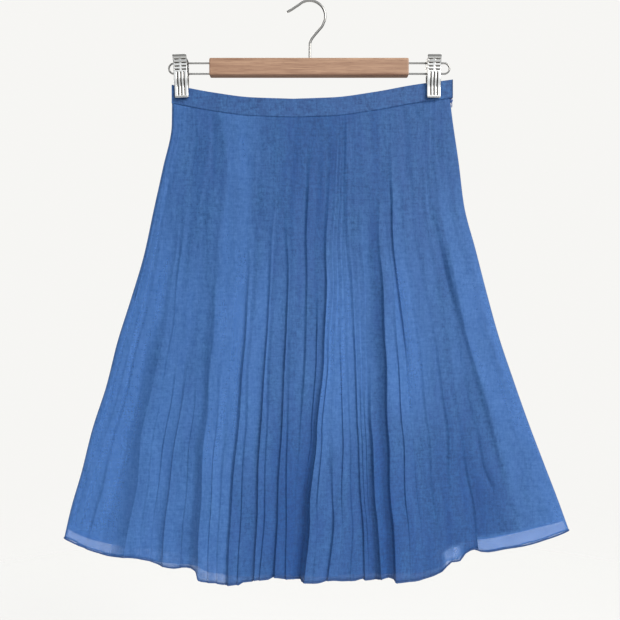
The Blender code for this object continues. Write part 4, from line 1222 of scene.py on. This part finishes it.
def add_node(tree, kind, inputs=(), **settings):
    """Shader node with its inputs given as (name or number, value or socket) pairs."""
    made = tree.nodes.new("ShaderNode" + kind)
    for name, value in settings.items():
        setattr(made, name, value)
    for name, value in inputs:
        link_input(made.inputs[name], value)
    return made


def calculated(tree, how, *values, kind="Math"):
    """Result of a calculation with numbers, or with vectors where kind is VectorMath."""
    return add_node(tree, kind, enumerate(values), operation=how).outputs[0]


def ranged(tree, value, start, end, low, high, how="LINEAR"):
    """The value's place between start and end, as one between low and high."""
    names = ("Value", "From Min", "From Max", "To Min", "To Max")
    inputs = zip(names, (value, start, end, low, high))
    return add_node(tree, "MapRange", inputs, interpolation_type=how).outputs[0]


def fill_in(shader, **values):
    """Values or sockets for a shader's inputs, named with underscores for spaces."""
    for key, value in values.items():
        link_input(shader.inputs[key.replace("_", " ")], value)


def start_material(name, **values):
    material = bpy.data.materials.new(name)
    material.use_nodes = True
    shader = material.node_tree.nodes["Principled BSDF"]
    fill_in(shader, **values)
    return material, material.node_tree, shader


def scaled_place(tree, scale):
    place = add_node(tree, "TexCoord").outputs["Object"]
    return calculated(tree, "MULTIPLY", place, scale, kind="VectorMath")


def noise_value(tree, scale, detail=2.0, roughness=0.5):
    """Noise of 0 to 1 with its own scale along each axis, in cells a metre."""
    names = ("Vector", "Scale", "Detail", "Roughness")
    inputs = zip(names, (scaled_place(tree, scale), 1.0, detail, roughness))
    return add_node(tree, "TexNoise", inputs).outputs[0]


def weighted(tree, parts, base=0.5):
    """base plus the sum of (value - 0.5) times its weight."""
    for value, weight in parts:
        centred = calculated(tree, "SUBTRACT", value, 0.5)
        base = calculated(tree, "MULTIPLY_ADD", centred, weight, base)
    return base


def blended(tree, factor, first, second, how="MIX"):
    inputs = ((0, factor), (6, first), (7, second))
    return add_node(tree, "Mix", inputs, data_type="RGBA", blend_type=how, clamp_factor=True).outputs[2]


def bumped(tree, height, distance, strength, before=None):
    inputs = [("Height", height), ("Distance", distance), ("Strength", strength)]
    if before is not None:
        inputs.append(("Normal", before))
    return add_node(tree, "Bump", inputs).outputs[0]


def woven_height(tree):
    """Plain weave: threads over and under in both directions."""
    turns = 2 * math.pi / THREAD_PITCH
    place = add_node(tree, "SeparateXYZ", ((0, scaled_place(tree, (turns,) * 3)),))
    warp, weft = (calculated(tree, "SINE", place.outputs[axis]) for axis in (0, 2))
    return calculated(tree, "MULTIPLY", warp, weft)


def cloth_material(cloth):
    """Slubbed cloth: blues mingled in fine threads, with a crinkled surface and a whitish gloss."""
    material, tree, shader = start_material(cloth.name, Alpha=cloth.alpha, **CLOTH_SHADER)
    factor = weighted(tree, [(noise_value(tree, *grain[:3]), grain.weight) for grain in CLOTH_GRAINS])
    mingled = blended(tree, factor, cloth.dark, cloth.light)
    tinted = weighted(tree, ((noise_value(tree, *HUE[:3]), HUE.weight),), HUE_BASE)
    colour = blended(tree, tinted, mingled, cloth.tint)
    soft = bumped(tree, noise_value(tree, *CRIMP[:3]), CRIMP.weight, cloth.crinkle)
    woven = bumped(tree, woven_height(tree), THREAD_HEIGHT, THREAD_STRENGTH, soft)
    if cloth.layered_alpha:
        layers = add_node(tree, "Attribute", attribute_name=LAYERS_AND_PAINTED_SHADE_ATTRIBUTE).outputs["Fac"]
        fill_in(shader, Alpha=ranged(tree, layers, 0.0, 1.0, cloth.alpha, cloth.layered_alpha))
        single = weighted(tree, ((layers, -1.0),))
        mingled = blended(tree, factor, cloth.single_dark, cloth.single_light)
        colour = blended(tree, single, colour, mingled)
        # painted shade: layers above 1 multiply the colour towards a deeper blue, partly real layering and
        # partly shade
        several = calculated(tree, "SUBTRACT", layers, 1.0)
        colour = blended(tree, several, colour, DEEPER_AND_PAINTED_SHADE, "MULTIPLY")
    fill_in(shader, Base_Color=colour, Normal=woven)
    return material


def wood_material():
    """Pale reddish wood with pores, and painted shade along the bar's upper and lower edge."""
    shine = {"Specular_IOR_Level": 0.4, "Coat_Weight": 0.12, "Coat_Roughness": 0.35}
    material, tree, shader = start_material("pale_red_wood", Roughness=0.46, **shine)
    bands = noise_value(tree, (5, 120, 210), 4.0, 0.6)
    streaks = noise_value(tree, (28, 500, 900), 3.0, 0.6)
    pores = noise_value(tree, (70, 900, 1700), 2.0)
    factor = weighted(tree, ((bands, 1.5), (streaks, 1.2)), 0.52)
    colour = blended(tree, factor, (0.24, 0.115, 0.066, 1), (0.58, 0.355, 0.225, 1))
    colour = blended(tree, ranged(tree, pores, 0.60, 0.70, 0.0, 0.55), colour, (0.20, 0.085, 0.05, 1))
    place = add_node(tree, "NewGeometry").outputs["Position"]
    height = add_node(tree, "SeparateXYZ", ((0, place),)).outputs[2]
    # painted shade: dark brown towards the bar's lower edge and in a thin band at its top edge
    for edge, reach in ((BAR_LOW, BAR_LOW_PAINTED_SHADE_REACH), (BAR_TOP, -BAR_TOP_PAINTED_SHADE_REACH)):
        shade = ranged(tree, height, edge, edge + reach, BAR_PAINTED_SHADE, 0.0, "SMOOTHSTEP")
        colour = blended(tree, shade, colour, (0.16, 0.075, 0.045, 1))
    fill_in(shader, Base_Color=colour, Normal=bumped(tree, streaks, 0.0003, 0.4))
    return material


def metal_material(name, colour, painted_shade_colour, roughness, scratch):
    """Plated metal, with painted shade in the hollows between its stamped ribs and a painted dark
    reflection on the jaws' upturned lip.
    """
    material, tree, shader = start_material(name, Metallic=1.0)
    blur = noise_value(tree, (120, 120, 60), 3.0)
    rough = ranged(tree, blur, 0.0, 1.0, roughness * 0.75, roughness * 1.3)
    lines = noise_value(tree, (2500, 2500, 120), 2.0)
    worn = tuple(c * 0.86 for c in colour[:3]) + (1,)
    tint = blended(tree, weighted(tree, ((blur, 0.8),)), colour, worn)
    # painted shade: the attribute darkens the colour towards painted_shade_colour
    hollow = add_node(tree, "Attribute", attribute_name=JAW_PAINTED_SHADE_ATTRIBUTE).outputs["Fac"]
    tint = blended(tree, hollow, tint, painted_shade_colour)
    fill_in(shader, Base_Color=tint, Roughness=rough, Normal=bumped(tree, lines, 0.00004, scratch))
    return material


def plastic_material(name, colour, roughness, grain):
    material, tree, shader = start_material(name, Roughness=roughness, Specular_IOR_Level=0.4)
    patches = noise_value(tree, (300, 300, 300), 3.0)
    paler = tuple(min(1.0, c * 1.25) for c in colour[:3]) + (1,)
    fine = noise_value(tree, (1800, 1800, 1800))
    bump = bumped(tree, fine, 0.0002, grain)
    fill_in(shader, Base_Color=blended(tree, patches, colour, paler), Normal=bump)
    return material


def make_stage():
    """Round pale floor whose edge fades out."""
    bm = bmesh.new()
    bmesh.ops.create_circle(bm, cap_ends=True, segments=FLOOR_SIDES, radius=FLOOR_RADIUS)
    mesh = bpy.data.meshes.new("stage")
    bm.to_mesh(mesh)
    bm.free()
    stage = new_object("stage", mesh)
    stage.location.z = FLOOR_HEIGHT
    looks = {"Roughness": 0.9, "Specular_IOR_Level": 0.1, "Base_Color": (0.93, 0.925, 0.91, 1)}
    material, tree, shader = start_material("pale_stage", **looks)
    place = add_node(tree, "TexCoord").outputs["Object"]
    away = add_node(tree, "VectorMath", ((0, place),), operation="LENGTH").outputs["Value"]
    fade = ranged(tree, away, FLOOR_FADES_FROM, FLOOR_FADES_TO, 1.0, 0.0, "SMOOTHSTEP")
    fill_in(shader, Alpha=fade)
    mesh.materials.append(material)


def make_sun(name, azimuth, height, spread, strength):
    """Soft sun; returns the direction towards it. The azimuth is to the right of the camera."""
    turn, rise = math.radians(azimuth), math.radians(height)
    towards = Vector((math.sin(turn) * math.cos(rise), -math.cos(turn) * math.cos(rise), math.sin(rise)))
    data = bpy.data.lights.new(name, "SUN")
    data.energy = strength
    data.angle = math.radians(spread)
    data.color = (1.0, 0.985, 0.96)
    sun = new_object(name, data)
    sun.rotation_euler = towards.to_track_quat("Z", "Y").to_euler()
    return towards


def make_lights():
    """Two suns, and a room that lights and is mirrored but isn't seen: the background is plain."""
    towards = make_sun("key", KEY_AZIMUTH, KEY_HEIGHT, KEY_SPREAD, KEY_STRENGTH)
    make_sun("rear", REAR_AZIMUTH, REAR_HEIGHT, REAR_SPREAD, REAR_STRENGTH)

    world = bpy.data.worlds.new("studio")
    world.use_nodes = True
    tree = world.node_tree
    place = add_node(tree, "TexCoord").outputs["Generated"]
    low = math.radians(FRONT_HEIGHT)
    facing, ahead = (
        add_node(tree, "VectorMath", ((0, place), (1, way)), operation="DOT_PRODUCT").outputs["Value"]
        for way in (tuple(towards), (0.0, -math.cos(low), math.sin(low)))
    )
    glow = ranged(tree, facing, GLOW_FROM, 1.0, ROOM_DARK, ROOM_LIGHT, "SMOOTHSTEP")
    screen = ranged(tree, ahead, FRONT_FROM, FRONT_TO, 0.0, FRONT_GLOW, "SMOOTHSTEP")
    room = tree.nodes["Background"]
    fill_in(room, Strength=calculated(tree, "ADD", glow, screen), Color=(0.93, 0.965, 1.0, 1))
    plain = add_node(tree, "Background", (("Color", BACKGROUND), ("Strength", 1.0)))
    seen = add_node(tree, "LightPath").outputs["Is Camera Ray"]
    both = add_node(tree, "MixShader", ((0, seen), (1, room.outputs[0]), (2, plain.outputs[0])))
    fill_in(tree.nodes["World Output"], Surface=both.outputs[0])
    bpy.context.scene.world = world


def make_camera():
    data = bpy.data.cameras.new("camera")
    data.sensor_width = SENSOR_WIDTH
    data.lens = FOCAL_PIXELS / PHOTO_SIDE * SENSOR_WIDTH
    camera = new_object("camera", data)
    camera.location = CAMERA_PLACE
    camera.rotation_euler = (math.radians(90), 0, 0)
    bpy.context.scene.camera = camera


def set_material(node, material):
    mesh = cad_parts[node].data
    mesh.materials.clear()
    mesh.materials.append(material)


def main():
    scene = bpy.context.scene
    scene.view_settings.view_transform = "Standard"
    make_camera()
    make_stage()
    make_lights()

    sheer, band, lining, edge = (cloth_material(cloth) for cloth in CLOTHS)
    wood = wood_material()
    nickel = metal_material("nickel", (0.86, 0.85, 0.82, 1), (0.05, 0.042, 0.034, 1), 0.30, 0.3)
    wire = metal_material("wire_nickel", (0.40, 0.39, 0.37, 1), (0.40, 0.39, 0.37, 1), 0.26, 0.3)
    # a darker copy of the nickel, painted shade for the back jaws and the ears
    dull_nickel = metal_material("dull_nickel", (0.27, 0.26, 0.24, 1), (0.10, 0.085, 0.07, 1), 0.38, 0.3)
    rubber = plastic_material("grey_rubber", (0.055, 0.055, 0.06, 1), 0.65, 0.3)
    enamel = plastic_material("zip_enamel", (0.030, 0.090, 0.30, 1), 0.38, 0.1)

    make_hook(wire)
    make_rail("rail_left", BAR_LEFT, RAIL_LEFT_END, wire)
    make_rail("rail_right", BAR_RIGHT, RAIL_RIGHT_END, wire)
    make_clips(nickel, dull_nickel, rubber)
    for panel in (FRONT, BACK):
        make_waistband(panel, band)
        make_lining(panel, lining)
        make_panel(panel, sheer, edge)

    make_zip(enamel)
    set_material("hanger_bar", wood)


main()
